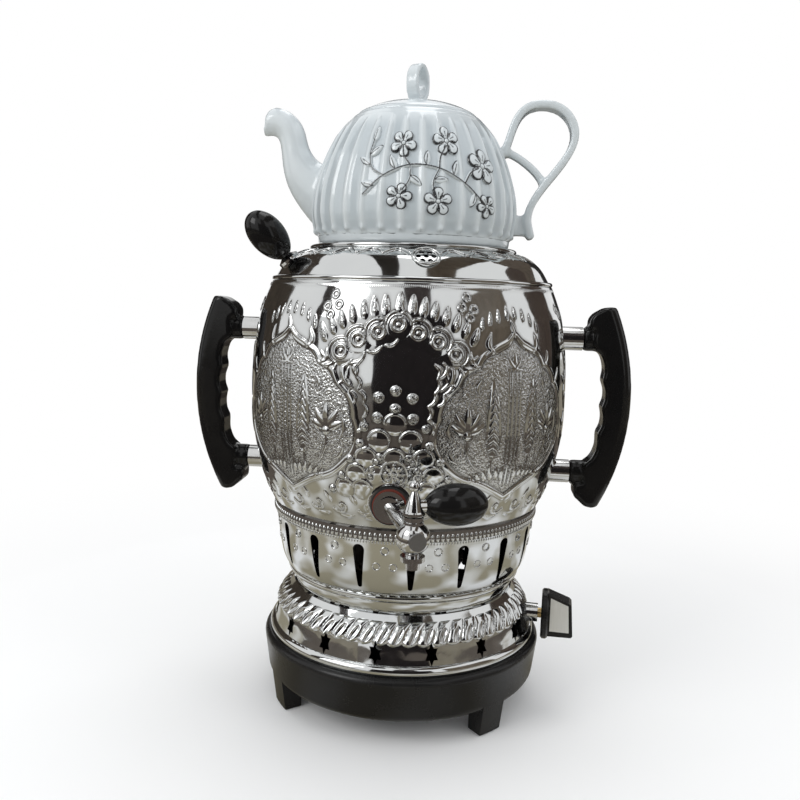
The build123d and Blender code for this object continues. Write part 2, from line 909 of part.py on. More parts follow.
finish(lid_dome, "lid_dome")

with BuildPart() as teapot_ring:
    with BuildSketch(Plane.XZ):
        with BuildLine():
            Polyline((ring_in_r, ring_z), (ring_out_r - 1.0, ring_z))
            ThreePointArc(
                (ring_out_r - 1.0, ring_z),
                (ring_out_r, ring_z + ring_h / 2),
                (ring_out_r - 1.0, ring_z + ring_h),
            )
            Polyline(
                (ring_out_r - 1.0, ring_z + ring_h),
                (ring_in_r, ring_z + ring_h),
                (ring_in_r, ring_z),
            )
        make_face()
    revolve(axis=Axis.Z)
finish(teapot_ring, "teapot_ring")


def egg_outline(long, wide, start):
    """Half outline of an egg-shaped handle along local x, with its stem end cut square at start."""
    along = (0.10, 0.24, 0.40, 0.54, 0.70, 0.84, 0.94)
    half_width = (0.315, 0.428, 0.491, 0.500, 0.463, 0.371, 0.243)
    stem = wide * 0.16
    Spline(
        (start, stem),
        *[(start + long * place, wide * share) for place, share in zip(along, half_width)],
        (start + long, 0),
    )
    Polyline((start + long, 0), (start, 0), (start, stem))


lid_egg_start = knob_neck_h
with BuildPart() as lid_knob:
    with BuildSketch(knob_section):
        with BuildLine():
            egg_outline(egg_long, egg_wide, lid_egg_start)
        make_face()
    revolve(axis=Axis(knob_spot, knob_up))
    with BuildSketch(knob_level):
        Circle(knob_screw_r + slip)
    extrude(amount=lid_egg_start + knob_screw_depth, mode=Mode.SUBTRACT)
finish(lid_knob, "lid_knob")

with BuildPart() as lid_knob_seat:
    with BuildSketch(knob_section):
        with BuildLine():
            Polyline(
                (-knob_screw_below, knob_screw_r + slip),
                (-knob_screw_below, knob_flange_r),
                (1.0, knob_flange_r),
                (knob_neck_h * 0.8, knob_neck_r + 1.0),
                (lid_egg_start, knob_neck_r),
                (lid_egg_start, knob_screw_r + slip),
                close=True,
            )
        make_face()
    revolve(axis=Axis(knob_spot, knob_up))
    with BuildSketch(Plane.XZ):
        with BuildLine():
            edge = aside(lid_side, weld_gap)
            Spline(*edge)
            Polyline(edge[-1], (0, edge[-1][1]), (0, lid_z), (edge[0][0], lid_z), edge[0])
        make_face()
    revolve(axis=Axis.Z, mode=Mode.SUBTRACT)
finish(lid_knob_seat, "lid_knob_seat")

with BuildPart() as lid_knob_screw:
    with BuildSketch(knob_level.offset(-knob_screw_below)):
        Circle(knob_screw_r)
    extrude(amount=knob_screw_below + lid_egg_start + knob_screw_depth - 0.5)
    with BuildSketch(knob_level.offset(-knob_screw_below)):
        Circle(screw_head_r)
    extrude(amount=screw_head_t)
finish(lid_knob_screw, "lid_knob_screw")

# ================ side grips ================
grip_mid_z = (grip_low_z + grip_high_z) / 2
post_clear = grip_post_r + 1.3


def grip_outline():
    """Outline of a bow-shaped grip, local x outwards and local y up."""
    end_r = grip_out_r - 13.3
    low_end_r = grip_out_r - 19.0
    ThreePointArc(
        (end_r, grip_end_high_z),
        (grip_out_r, grip_mid_z - 2.0),
        (low_end_r, grip_end_low_z),
    )
    Polyline(
        (low_end_r, grip_end_low_z),
        (low_end_r - 8.5, grip_end_low_z + 1.0),
        (grip_low_r + 3.4, grip_end_low_z + 8.5),
        (grip_low_r + 3.4, grip_low_z - grip_post_r + 1.0),
        (grip_low_r + 10, grip_low_z - grip_post_r + 1.0),
        (grip_low_r + 10, grip_low_z + grip_post_r - 1.0),
        (grip_low_r + 13.6, grip_low_z + post_clear),
    )
    first = (grip_low_r + 13.6, grip_low_z + post_clear)
    last = (grip_high_r + 12.0, grip_high_z - post_clear)
    run = (last[1] - first[1]) / scallop_count
    place = first
    for i in range(scallop_count):
        bulge = 3.4 if i in (1, 2) else 1.6
        middle_z = first[1] + run * (i + 0.5)
        share = (i + 1) / scallop_count
        crest = sin(radians(180 * share)) * 4.2
        end = (first[0] + (last[0] - first[0]) * share + crest, first[1] + run * (i + 1))
        middle = ((place[0] + end[0]) / 2 + scallop_depth * 0.62 + bulge * 0.2, middle_z)
        ThreePointArc(place, middle, end)
        place = end
    Polyline(
        last,
        (grip_high_r + 8, grip_high_z - grip_post_r + 1.0),
        (grip_high_r + 8, grip_high_z + grip_post_r - 1.0),
        (grip_high_r + 3.6, grip_high_z + grip_post_r - 1.0),
        (grip_high_r + 3.6, grip_end_high_z - 9.0),
        (grip_high_r + 7.0, grip_end_high_z - 4.6),
        (grip_high_r + 14.0, grip_end_high_z - 0.6),
        (end_r, grip_end_high_z),
    )


def make_grip(side):
    with BuildPart() as grip:
        with BuildSketch(section(side)):
            with BuildLine():
                grip_outline()
            make_face()
        extrude(amount=grip_w / 2, both=True)
        long_edges = grip.edges().filter_by(GeomType.CIRCLE).sort_by(Edge.length)[-2:]
        chamfer(long_edges, grip_chamfer)
        for height, reach in ((grip_low_z, grip_low_r), (grip_high_z, grip_high_r)):
            with BuildSketch(facing(side, reach, height)):
                Circle(grip_post_r)
            extrude(amount=18)
        for height, reach in ((grip_low_z, grip_low_r), (grip_high_z, grip_high_r)):
            with BuildSketch(facing(side, reach - 1, height)):
                Circle(stud_r + slip)
            extrude(amount=stud_depth + 1, mode=Mode.SUBTRACT)
    return grip


left_grip = make_grip(-90.0)
finish(left_grip, "left_grip")
right_grip = make_grip(90.0)
finish(right_grip, "right_grip")

ferrule_names = (
    "left_lower_ferrule",
    "left_upper_ferrule",
    "right_lower_ferrule",
    "right_upper_ferrule",
)
for (side, height, reach), ferrule_name in zip(post_places, ferrule_names):
    with BuildPart() as ferrule:
        with BuildSketch(facing(side, tank_foot_r - 5, height)):
            Circle(ferrule_r)
            Circle(stud_r + slip, mode=Mode.SUBTRACT)
        extrude(amount=reach - tank_foot_r + 5)
        with BuildSketch(Plane.XZ):
            with BuildLine():
                mass_inside(tank_side, weld_gap)
            make_face()
        revolve(axis=Axis.Z, mode=Mode.SUBTRACT)
    finish(ferrule, ferrule_name)

inside_side = aside(tank_side, -sheet)


def washer_reach(height):
    """Reach at which a flat washer just touches the barrel's inner face."""
    low = min(radius_at(inside_side, height - washer_r), radius_at(inside_side, height + washer_r))
    return sqrt(low**2 - washer_r**2) - weld_gap


with BuildPart() as handle_washers:
    for side, height, reach in post_places:
        with BuildSketch(facing(side, washer_reach(height) - washer_t, height)):
            Circle(washer_r)
            Circle(stud_r + slip, mode=Mode.SUBTRACT)
        extrude(amount=washer_t)
finish(handle_washers, "handle_washers")

with BuildPart() as handle_nuts:
    for side, height, reach in post_places:
        with BuildSketch(facing(side, washer_reach(height) - washer_t - stud_nut_t, height)):
            RegularPolygon(stud_nut_across / 2, 6, major_radius=False)
            Circle(stud_r + slip, mode=Mode.SUBTRACT)
        extrude(amount=stud_nut_t)
finish(handle_nuts, "handle_nuts")

with BuildPart() as handle_studs:
    for side, height, reach in post_places:
        stud_start = washer_reach(height) - washer_t - stud_inside
        with BuildSketch(facing(side, stud_start, height)):
            Circle(stud_r)
        extrude(amount=reach + stud_depth - 0.5 - stud_start)
finish(handle_studs, "handle_studs")

# ================ tap ================
rubber_y = tap_boss_y
fibre_y = rubber_y + tap_rubber_t
flange_y = fibre_y + tap_fibre_t
ball = Vector(tap_reach_x, -tap_reach_y, tap_z - tap_drop)
pipe_root = Vector(0, -flange_y - tap_flange_t / 2, tap_z)
pipe_run = ball - pipe_root
pipe_up = Plane(origin=pipe_root, z_dir=pipe_run)
bottom_z = ball.Z - tap_spout_drop
neck_z = ball.Z + tap_neck_h

with BuildPart() as tap_rubber:
    with BuildSketch(facing(0, rubber_y, tap_z)):
        Circle(tap_rubber_r)
        Circle(tap_shank_r + slip, mode=Mode.SUBTRACT)
    extrude(amount=tap_rubber_t)
finish(tap_rubber, "tap_rubber_washer")

with BuildPart() as tap_fibre:
    with BuildSketch(facing(0, fibre_y, tap_z)):
        Circle(tap_fibre_r)
        Circle(tap_shank_r + slip, mode=Mode.SUBTRACT)
    extrude(amount=tap_fibre_t)
finish(tap_fibre, "tap_fibre_washer")

with BuildPart() as tap_body:
    with BuildSketch(facing(0, flange_y, tap_z)):
        Circle(tap_flange_r)
    extrude(amount=tap_flange_t)
    with BuildSketch(facing(0, flange_y, tap_z)):
        Circle(tap_step_r)
    extrude(amount=tap_flange_t + tap_step_t)
    with BuildSketch(facing(0, tap_boss_y - tap_boss_depth - tap_shank_inside, tap_z)):
        Circle(tap_shank_r)
    extrude(amount=flange_y - tap_boss_y + tap_boss_depth + tap_shank_inside)
    with BuildSketch(pipe_up):
        Circle(tap_pipe_r)
    extrude(amount=pipe_run.length)
    with Locations(ball):
        Sphere(tap_ball_r)
    face_out = heading(tap_face_heading)
    with BuildSketch(Plane(origin=ball + face_out * tap_face_start, z_dir=face_out)):
        Circle(tap_face_r + slip)
    extrude(amount=tap_ball_r, mode=Mode.SUBTRACT)
    with BuildSketch(Plane.XY.offset(ball.Z)):
        with Locations((ball.X, ball.Y)):
            Circle(tap_neck_r - 0.8)
    extrude(amount=tap_neck_h)
    for ring_low, ring_high in ((0.62, 0.76), (0.86, 1.0)):
        with BuildSketch(Plane.XY.offset(ball.Z + tap_neck_h * ring_low)):
            with Locations((ball.X, ball.Y)):
                Circle(tap_neck_r)
        extrude(amount=tap_neck_h * (ring_high - ring_low))
    spout_top = ball.Z - tap_ball_r + 0.6
    with BuildSketch(Plane.XY.offset(spout_top - tap_spout_ring_h)):
        with Locations((ball.X, ball.Y)):
            Circle(tap_spout_ring_r)
    extrude(amount=tap_spout_ring_h - 1.2)
    with BuildSketch(Plane.XY.offset(bottom_z)):
        with Locations((ball.X, ball.Y)):
            Circle(tap_spout_r)
    extrude(amount=spout_top - bottom_z + 1.5)
    with BuildSketch(Plane.XY.offset(bottom_z - 1)):
        with Locations((ball.X, ball.Y)):
            Circle(tap_bore_r)
    extrude(amount=ball.Z - bottom_z, mode=Mode.SUBTRACT)
    with BuildSketch(Plane.XY.offset(ball.Z - tap_ball_r * 0.6)):
        with Locations((ball.X, ball.Y)):
            Circle(tap_plug_r + slip)
    extrude(amount=tap_ball_r + tap_neck_h, mode=Mode.SUBTRACT)
    with BuildSketch(pipe_up.offset(-1.0)):
        Circle(tap_bore_r)
    extrude(amount=pipe_run.length + 1.0, mode=Mode.SUBTRACT)
    with BuildSketch(facing(0, tap_boss_y - tap_boss_depth - tap_shank_inside - 1, tap_z)):
        Circle(tap_bore_r)
    extrude(amount=flange_y - tap_boss_y + tap_boss_depth + tap_shank_inside + 2.5, mode=Mode.SUBTRACT)
finish(tap_body, "tap_body")

with BuildPart() as tap_face_plug:
    with BuildSketch(Plane(origin=ball + face_out * tap_face_start, z_dir=face_out)):
        Circle(tap_face_r)
    extrude(amount=tap_ball_r + 0.5 - tap_face_start)
finish(tap_face_plug, "tap_face_plug")

tap_nut_y = tap_boss_y - tap_boss_depth - tap_nut_t - weld_gap
with BuildPart() as tap_nut:
    with BuildSketch(facing(0, tap_nut_y, tap_z)):
        RegularPolygon(tap_nut_across / 2, 6, major_radius=False)
        Circle(tap_shank_r + slip, mode=Mode.SUBTRACT)
    extrude(amount=tap_nut_t)
finish(tap_nut, "tap_back_nut")

key_z = neck_z + key_gap
plug_low_z = ball.Z - tap_ball_r * 0.6 + 0.2
cone_top_z = key_z + 1.6 + key_cone_h
with BuildPart() as tap_key:
    with BuildSketch(Plane(origin=(ball.X, ball.Y, 0), x_dir=(1, 0, 0), z_dir=(0, -1, 0))):
        with BuildLine():
            finial_z = cone_top_z + key_ball_r * 0.8
            Polyline(
                (0, plug_low_z),
                (tap_plug_r, plug_low_z),
                (tap_plug_r, key_z),
                (key_cone_r - 0.8, key_z),
                (key_cone_r, key_z + 0.8),
                (key_cone_r, key_z + 2.2),
                (key_cone_r - 0.6, key_z + 3.0),
            )
            Spline(
                (key_cone_r - 0.6, key_z + 3.0),
                (key_cone_r * 0.62, key_z + 3.0 + key_cone_h * 0.45),
                (1.7, cone_top_z),
            )
            ThreePointArc(
                (1.7, cone_top_z),
                (key_ball_r, finial_z + 0.6),
                (0.9, finial_z + key_ball_r + 0.4),
            )
            Polyline(
                (0.9, finial_z + key_ball_r + 0.4),
                (0, finial_z + key_ball_r + 1.2),
                (0, plug_low_z),
            )
        make_face()
    revolve(axis=Axis((ball.X, ball.Y, 0), (0, 0, 1)))
    with BuildSketch(Plane.XY.offset(plug_low_z - 1)):
        with Locations((ball.X, ball.Y)):
            Circle(tap_bore_r)
    extrude(amount=ball.Z - plug_low_z + 1, mode=Mode.SUBTRACT)
    handle_out = heading(key_handle_heading)
    with BuildSketch(Plane(origin=ball, z_dir=handle_out * -1)):
        Circle(tap_bore_r)
    extrude(amount=tap_plug_r + 1, mode=Mode.SUBTRACT)
    key_grip_z = key_z + 5.4
    with BuildSketch(Plane(origin=(ball.X, ball.Y, key_grip_z), z_dir=handle_out)):
        Circle(key_boss_r)
    extrude(amount=key_boss_reach)
    with BuildSketch(Plane(origin=(ball.X, ball.Y, key_grip_z), z_dir=handle_out)):
        Circle(key_pin_r + slip)
    extrude(amount=key_boss_reach + 1, mode=Mode.SUBTRACT)
finish(tap_key, "tap_key")

key_egg_start = key_boss_reach + weld_gap
key_hub = Vector(ball.X, ball.Y, key_grip_z)
with BuildPart() as tap_handle:
    with BuildSketch(Plane(origin=key_hub, x_dir=handle_out, z_dir=handle_out.cross(Vector(0, 0, 1)))):
        with BuildLine():
            egg_outline(egg_long, egg_wide, key_egg_start)
        make_face()
    revolve(axis=Axis(key_hub, handle_out))
    with BuildSketch(Plane(origin=key_hub, z_dir=handle_out)):
        Circle(key_pin_r + slip)
    extrude(amount=key_egg_start + 12, mode=Mode.SUBTRACT)
finish(tap_handle, "tap_handle")

with BuildPart() as tap_handle_pin:
    with BuildSketch(Plane(origin=key_hub, z_dir=handle_out)):
        Circle(key_pin_r)
    extrude(amount=key_egg_start + 11.5)
finish(tap_handle_pin, "tap_handle_pin")

# ================ gas valve ================
valve_axis = radial_axis(gas_heading, valve_z)
valve_section = section(gas_heading, valve_z)
inlet_axis = radial_axis(inlet_heading, valve_z)

with BuildPart() as valve_body:
    with BuildSketch(valve_section):
        with BuildLine():
            Polyline(
                (valve_start, feed_bore_r),
                (valve_start, valve_r),
                (valve_end, valve_r),
                (valve_end, valve_neck_r),
                (valve_neck_end, valve_neck_r),
                (valve_neck_end, stem_r + slip),
                (valve_chamber_end, stem_r + slip),
                (valve_chamber_end, valve_chamber_r),
                (valve_chamber_start, valve_chamber_r),
                (valve_chamber_start, feed_bore_r),
                close=True,
            )
        make_face()
    revolve(axis=valve_axis)
    gas_out = heading(gas_heading)
    boss_root = gas_out * feed_run + Vector(0, 0, valve_z)
    inlet_out = heading(inlet_heading)
    with BuildSketch(Plane(origin=boss_root + inlet_out * valve_chamber_r, z_dir=inlet_out)):
        Circle(feed_r + 1.5)
    extrude(amount=valve_r - valve_chamber_r + 2)
    with BuildSketch(Plane(origin=boss_root + inlet_out * (valve_chamber_r - 1), z_dir=inlet_out)):
        Circle(feed_bore_r)
    extrude(amount=valve_r - valve_chamber_r + 4, mode=Mode.SUBTRACT)
finish(valve_body, "gas_valve_body")

with BuildPart() as gas_jet:
    with BuildSketch(valve_section):
        with BuildLine():
            Polyline(
                (jet_end, jet_bore_r),
                (jet_end, jet_r * 0.6),
                (jet_end + 3, jet_r),
                (valve_start, jet_r),
                (valve_start, feed_bore_r - slip),
                (valve_start + 3, feed_bore_r - slip),
                (valve_start + 3, jet_bore_r),
                close=True,
            )
        make_face()
    revolve(axis=valve_axis)
finish(gas_jet, "gas_jet")

with BuildPart() as valve_lock_nut:
    with BuildSketch(facing(gas_heading, valve_end, valve_z)):
        RegularPolygon(lock_nut_across / 2, 6, major_radius=False)
        Circle(valve_neck_r + slip, mode=Mode.SUBTRACT)
    extrude(amount=lock_nut_t)
finish(valve_lock_nut, "valve_lock_nut")

with BuildPart() as valve_bezel:
    with BuildSketch(facing(gas_heading, collar_neck_r, valve_z)):
        RectangleRounded(bezel_w, bezel_h, bezel_h * 0.3)
        Circle(valve_neck_r + slip, mode=Mode.SUBTRACT)
    extrude(amount=collar_rim_r - collar_neck_r + 3)
    with BuildSketch(Plane.XZ):
        with BuildLine():
            near = aside(collar_side, weld_gap)
            far = aside(collar_side, weld_gap + bezel_t)
            Spline(*near)
            Line(near[-1], far[-1])
            Spline(*reversed(far))
            Line(far[0], near[0])
        make_face()
    revolve(axis=Axis.Z, mode=Mode.INTERSECT)
finish(valve_bezel, "valve_bezel")

with BuildPart() as valve_sleeve:
    with BuildSketch(facing(gas_heading, collar_neck_r, valve_z)):
        Circle(sleeve_r)
        Circle(valve_neck_r + slip, mode=Mode.SUBTRACT)
    extrude(amount=sleeve_end - collar_neck_r)
    with BuildSketch(Plane.XZ):
        with BuildLine():
            mass_inside(collar_side, bezel_t + 2 * weld_gap)
        make_face()
    revolve(axis=Axis.Z, mode=Mode.SUBTRACT)
finish(valve_sleeve, "valve_sleeve")

valve_bore_r = valve_chamber_r - slip
with BuildPart() as valve_plug:
    with BuildSketch(valve_section):
        with BuildLine():
            Polyline(
                (valve_chamber_start + slip, plug_bore_r),
                (valve_chamber_start + slip, valve_bore_r),
                (plug_end, valve_bore_r),
                (plug_end, 0),
                (plug_floor_start, 0),
                (plug_floor_start, plug_bore_r),
                close=True,
            )
        make_face()
    revolve(axis=valve_axis)
    with BuildSketch(facing(gas_heading, plug_floor_start - 1, valve_z)):
        Rectangle(square + 2 * slip, square + 2 * slip)
    extrude(amount=plug_end - plug_floor_start + 2, mode=Mode.SUBTRACT)
    port_place = gas_out * feed_run + Vector(0, 0, valve_z)
    with BuildSketch(Plane(origin=port_place, z_dir=(0, 0, -1))):
        Circle(feed_bore_r)
    extrude(amount=valve_chamber_r + 1, mode=Mode.SUBTRACT)
    with BuildSketch(Plane(origin=port_place, z_dir=inlet_out * -1)):
        Circle(low_port_r)
    extrude(amount=valve_chamber_r + 1, mode=Mode.SUBTRACT)
finish(valve_plug, "valve_plug")

collar_start = valve_chamber_end - stem_collar_t - slip
with BuildPart() as valve_stem:
    with BuildSketch(facing(gas_heading, collar_start - square_tail, valve_z)):
        Rectangle(square, square)
    extrude(amount=square_tail)
    with BuildSketch(facing(gas_heading, collar_start, valve_z)):
        Circle(stem_collar_r)
    extrude(amount=stem_collar_t)
    with BuildSketch(facing(gas_heading, collar_start, valve_z)):
        Circle(stem_r)
    extrude(amount=knob_start + stem_grip - collar_start)
finish(valve_stem, "valve_stem")

# The spring is as short as it gets with the knob pushed in, so it stays clear of the stem's collar.
spring_r = (square * sqrt(2) / 2 + valve_chamber_r) / 2 + 0.3
spring_start = plug_end + spring_wire_r + slip
spring_length = collar_start - push_travel - plug_end - 2 * spring_wire_r - 4 * slip
with BuildPart() as valve_spring:
    with BuildLine():
        coil = Helix(
            pitch=spring_length / spring_turns,
            height=spring_length,
            radius=spring_r,
            center=gas_out * spring_start + Vector(0, 0, valve_z),
            direction=gas_out,
        )
    with BuildSketch(Plane(origin=coil @ 0, z_dir=coil % 0)):
        Circle(spring_wire_r)
    sweep(path=coil)
finish(valve_spring, "valve_spring")

bar_end = knob_start + knob_depth


def plate_outline(gap):
    """Outline of the inlay on the knob's bar, gap smaller all round."""
    near = knob_start + knob_disc_t + 1.2 + gap
    far = bar_end - plate_border - gap
    low = -knob_bar_low + plate_border + 1.2 + gap
    Polyline(
        (near, low),
        (far, low),
        (far - 1.2, knob_bar_high_out - 0.4 - gap),
        (near, knob_bar_high_in - plate_border - 2 * gap),
        close=True,
    )


with BuildPart() as gas_knob:
    with BuildSketch(facing(gas_heading, knob_start, valve_z)):
        Circle(knob_disc_r)
    extrude(amount=knob_disc_t)
    disc_edge = gas_knob.edges().filter_by(GeomType.CIRCLE)
    chamfer(disc_edge, 1.2)
    with BuildSketch(valve_section):
        with BuildLine():
            Polyline(
                (knob_start + knob_disc_t - 1, -knob_bar_low),
                (bar_end - 1, -knob_bar_low + 0.4),
                (bar_end, -knob_bar_low + 1.8),
                (bar_end - 1.6, knob_bar_high_out),
                (bar_end - 3.4, knob_bar_high_out + 1.6),
                (knob_start + knob_disc_t - 1, knob_bar_high_in),
                close=True,
            )
        make_face()
    extrude(amount=knob_bar_w / 2, both=True)
    with BuildSketch(facing(gas_heading, knob_start - 1, valve_z)):
        Circle(stem_r + slip)
    extrude(amount=stem_grip + 1.3, mode=Mode.SUBTRACT)
    with BuildSketch(valve_section.offset(knob_bar_w / 2)):
        with BuildLine():
            plate_outline(0)
        make_face()
    extrude(amount=-plate_t, mode=Mode.SUBTRACT)
finish(gas_knob, "gas_knob")

with BuildPart() as knob_plate:
    with BuildSketch(valve_section.offset(knob_bar_w / 2)):
        with BuildLine():
            plate_outline(slip)
        make_face()
    extrude(amount=-plate_t)
finish(knob_plate, "gas_knob_plate")

# ================ gas feed pipe and hose inlet ================
gas_level = Plane(origin=(0, 0, valve_z), x_dir=gas_out, z_dir=(0, 0, 1))
feed_start = valve_r + 2
with BuildPart() as feed_pipe:
    with BuildLine(gas_level):
        route = FilletPolyline(
            (feed_run, feed_start),
            (feed_run, feed_run),
            (inlet_body_r, feed_run),
            radius=feed_bend_r,
        )
    with BuildSketch(Plane(origin=route @ 0, z_dir=route % 0)):
        Circle(feed_r)
        Circle(feed_bore_r, mode=Mode.SUBTRACT)
    sweep(path=route)
finish(feed_pipe, "gas_feed_pipe")

with BuildPart() as gas_inlet:
    hose_end = standpipe_end + hose_length
    with BuildSketch(section(inlet_heading, valve_z)):
        with BuildLine():
            Polyline(
                (inlet_body_start, 0),
                (inlet_body_start, inlet_body_r),
                (inlet_body_end, inlet_body_r),
                (inlet_body_end, valve_neck_r),
                (inlet_neck_end, valve_neck_r),
                (inlet_neck_end, hose_bead_r),
                (inlet_neck_end + hose_bead_t, hose_bead_r),
                (inlet_neck_end + hose_bead_t, standpipe_r),
                (standpipe_end, standpipe_r),
                (standpipe_end, hose_r),
                (hose_end, hose_r),
                (hose_end + hose_tip, hose_r - 1.2),
                (hose_end + hose_tip, 0),
                close=True,
            )
        make_face()
    revolve(axis=inlet_axis)
    with BuildSketch(facing(inlet_heading, feed_run - hose_bore_r, valve_z)):
        Circle(hose_bore_r)
    extrude(amount=hose_end + hose_tip - feed_run + 10, mode=Mode.SUBTRACT)
    with BuildSketch(Plane(origin=inlet_out * feed_run + Vector(0, 0, valve_z), z_dir=gas_out)):
        Circle(feed_bore_r)
    extrude(amount=inlet_body_r + 1, mode=Mode.SUBTRACT)
    with BuildSketch(
        Plane(
            origin=inlet_out * feed_run + gas_out * (inlet_body_r - 0.8) + Vector(0, 0, valve_z),
            z_dir=gas_out,
        )
    ):
        Circle(feed_r + slip)
    extrude(amount=2, mode=Mode.SUBTRACT)
finish(gas_inlet, "gas_inlet")

with BuildPart() as inlet_nuts:
    for start, thickness in ((inlet_body_end, lock_nut_t), (inlet_nut_start, inlet_nut_t)):
        with BuildSketch(facing(inlet_heading, start, valve_z)):
            RegularPolygon(lock_nut_across / 2, 6, major_radius=False)
            Circle(valve_neck_r + slip, mode=Mode.SUBTRACT)
        extrude(amount=thickness)
finish(inlet_nuts, "gas_inlet_nuts")

# ================ teapot ================
spout_heading = -90.0
# reach, height above the foot, slope of the run, half height and half width of each section
spout_stations = (
    (61.0, 33.0, 10.0, 22.5, 15.5),
    (73.0, 40.5, 14.0, 18.8, 13.0),
    (80.5, 50.5, 28.0, 15.4, 11.2),
    (85.2, 64.5, 43.0, 12.2, 9.6),
    (88.4, 77.2, 44.0, 10.2, 8.6),
    (97.0, 84.6, 20.0, 9.8, 7.6),
    (106.4, 82.1, 8.0, 7.0, 6.4),
)


def spout_plane(reach, height, lean):
    """Plane across the spout: lean is the angle of its run above level."""
    out = heading(spout_heading)
    run = out * cos(radians(lean)) + Vector(0, 0, sin(radians(lean)))
    side = out.cross(Vector(0, 0, 1))
    return Plane(origin=out * reach + Vector(0, 0, pot_z + height), x_dir=side, z_dir=run)


def handle_outline(points, thickness):
    """Closed outline of a strip that follows points, half its thickness to each side."""
    outer = aside(points, -thickness / 2)
    inner = aside(points, thickness / 2)
    Spline(*outer)
    Line(outer[-1], inner[-1])
    Spline(*reversed(inner))
    Line(inner[0], outer[0])


# reach and height above the teapot's foot along the handle, then along its upper strut
handle_points = [
    (58.5, 63.0),
    (63.4, 74.0),
    (67.6, 86.5),
    (73.0, 93.6),
    (85.5, 97.2),
    (99.2, 92.8),
    (107.2, 78.5),
    (99.6, 58.5),
    (84.8, 38.6),
    (78.4, 21.0),
    (79.7, 13.8),
    (81.3, 8.0),
]
strut_points = [(58.0, 67.0), (66.5, 64.2), (77.8, 56.8), (84.6, 50.0), (88.4, 42.0)]

with BuildPart() as teapot:
    with BuildSketch(Plane.XZ):
        with BuildLine():
            Spline(*pot_side)
            Polyline(
                pot_side[-1],
                (pot_step_r, pot_lid_z),
                (pot_step_r - 0.6, pot_lid_z - pot_step_h),
                (0, pot_lid_z - pot_step_h),
                (0, pot_z + pot_foot_rise),
                (pot_foot_in_r, pot_z + pot_foot_rise),
                (pot_foot_in_r + 1.0, pot_z),
                (pot_foot_r - 1.4, pot_z),
                pot_side[0],
            )
        make_face()
    revolve(axis=Axis.Z)
    for reach, height, lean, tall, wide in spout_stations:
        with BuildSketch(spout_plane(reach, height, lean)):
            Ellipse(wide, tall)
    loft()
    with BuildSketch(section(90.0, pot_z)):
        with BuildLine():
            handle_outline(handle_points, handle_t)
        make_face()
    extrude(amount=handle_w / 2, both=True)
    with BuildSketch(section(90.0, pot_z)):
        with BuildLine():
            handle_outline(strut_points, handle_t - 0.6)
        make_face()
    extrude(amount=strut_w / 2, both=True)
    with BuildSketch(section(90.0, pot_z)):
        with Locations(((pot_foot_r + handle_foot_r) / 2, low_strut_h)):
            Rectangle(handle_foot_r - pot_foot_r, low_strut_t)
    extrude(amount=strut_w / 2, both=True)
    with BuildSketch(Plane.XZ):
        with BuildLine():
            floor_z = pot_z + pot_foot_rise + pot_floor
            hollow_top = pot_lid_z - pot_step_h - 3.0
            hollow = [(r, z) for r, z in aside(pot_side, -pot_wall) if floor_z < z < hollow_top]
            Polyline((0, floor_z), (hollow[0][0] - 6, floor_z), hollow[0])
            Spline(*hollow)
            Polyline(
                hollow[-1],
                (pot_mouth_r, hollow_top),
                (pot_mouth_r, pot_lid_z),
                (0, pot_lid_z),
                (0, floor_z),
            )
        make_face()
    revolve(axis=Axis.Z, mode=Mode.SUBTRACT)
    for reach, height, lean, tall, wide in spout_stations:
        with BuildSketch(spout_plane(reach, height, lean)):
            Ellipse(wide - spout_wall, tall - spout_wall)
    loft(mode=Mode.SUBTRACT)
    mouth_reach, mouth_height, mouth_lean, mouth_tall, mouth_wide = spout_stations[-1]
    with BuildSketch(spout_plane(mouth_reach, mouth_height, mouth_lean)):
        Ellipse(mouth_wide - spout_wall, mouth_tall - spout_wall)
    extrude(amount=2, both=True, mode=Mode.SUBTRACT)
finish(teapot, "teapot")

loop_foot_z = pot_lid_z + pot_lid_h
with BuildPart() as teapot_lid:
    with BuildSketch(Plane.XZ):
        with BuildLine():
            rest_z = pot_lid_z - pot_step_h + seat_gap
            edge_r = pot_step_r - 0.6 - seat_gap
            plug_r = pot_mouth_r - pot_lid_play
            Spline(
                (pot_step_r - seat_gap, pot_lid_z),
                (38.0, pot_lid_z + 2.9),
                (25.0, pot_lid_z + 8.0),
                (12.0, pot_lid_z + 10.7),
                (0, loop_foot_z),
                tangents=((-0.6, 1), (-1, 0)),
            )
            Polyline(
                (0, loop_foot_z),
                (0, loop_foot_z - pot_lid_wall),
                (20.0, pot_lid_z + 8.6 - pot_lid_wall),
                (plug_r - pot_lid_wall, pot_lid_z),
                (plug_r - pot_lid_wall, rest_z - pot_lid_plug_h),
                (plug_r, rest_z - pot_lid_plug_h),
                (plug_r, rest_z),
                (edge_r, rest_z),
                (pot_step_r - seat_gap, pot_lid_z),
            )
        make_face()
    revolve(axis=Axis.Z)
    loop_out = heading(90.0 - pot_loop_turn)
    loop_mid = loop_foot_z + pot_loop_h / 2 - 0.6
    loop_plane = Plane(origin=(0, 0, loop_mid), x_dir=loop_out.cross(Vector(0, 0, 1)), z_dir=loop_out)
    with BuildSketch(loop_plane):
        Ellipse(pot_loop_w / 2, pot_loop_h / 2)
        Ellipse(pot_loop_w / 2 - pot_loop_t, pot_loop_h / 2 - pot_loop_t, mode=Mode.SUBTRACT)
    extrude(amount=pot_loop_band / 2, both=True)
finish(teapot_lid, "teapot_lid")

# ================ export ================
os.makedirs("parts", exist_ok=True)
for piece, name in parts:
    export_step(piece.part, f"parts/{name}.step")
print(len(parts), "parts written")
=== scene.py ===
"""A gas samovar of chromed, embossed sheet on a black base, with a porcelain teapot on its lid."""
from math import atan2, copysign, cos, degrees, pi, radians, sin

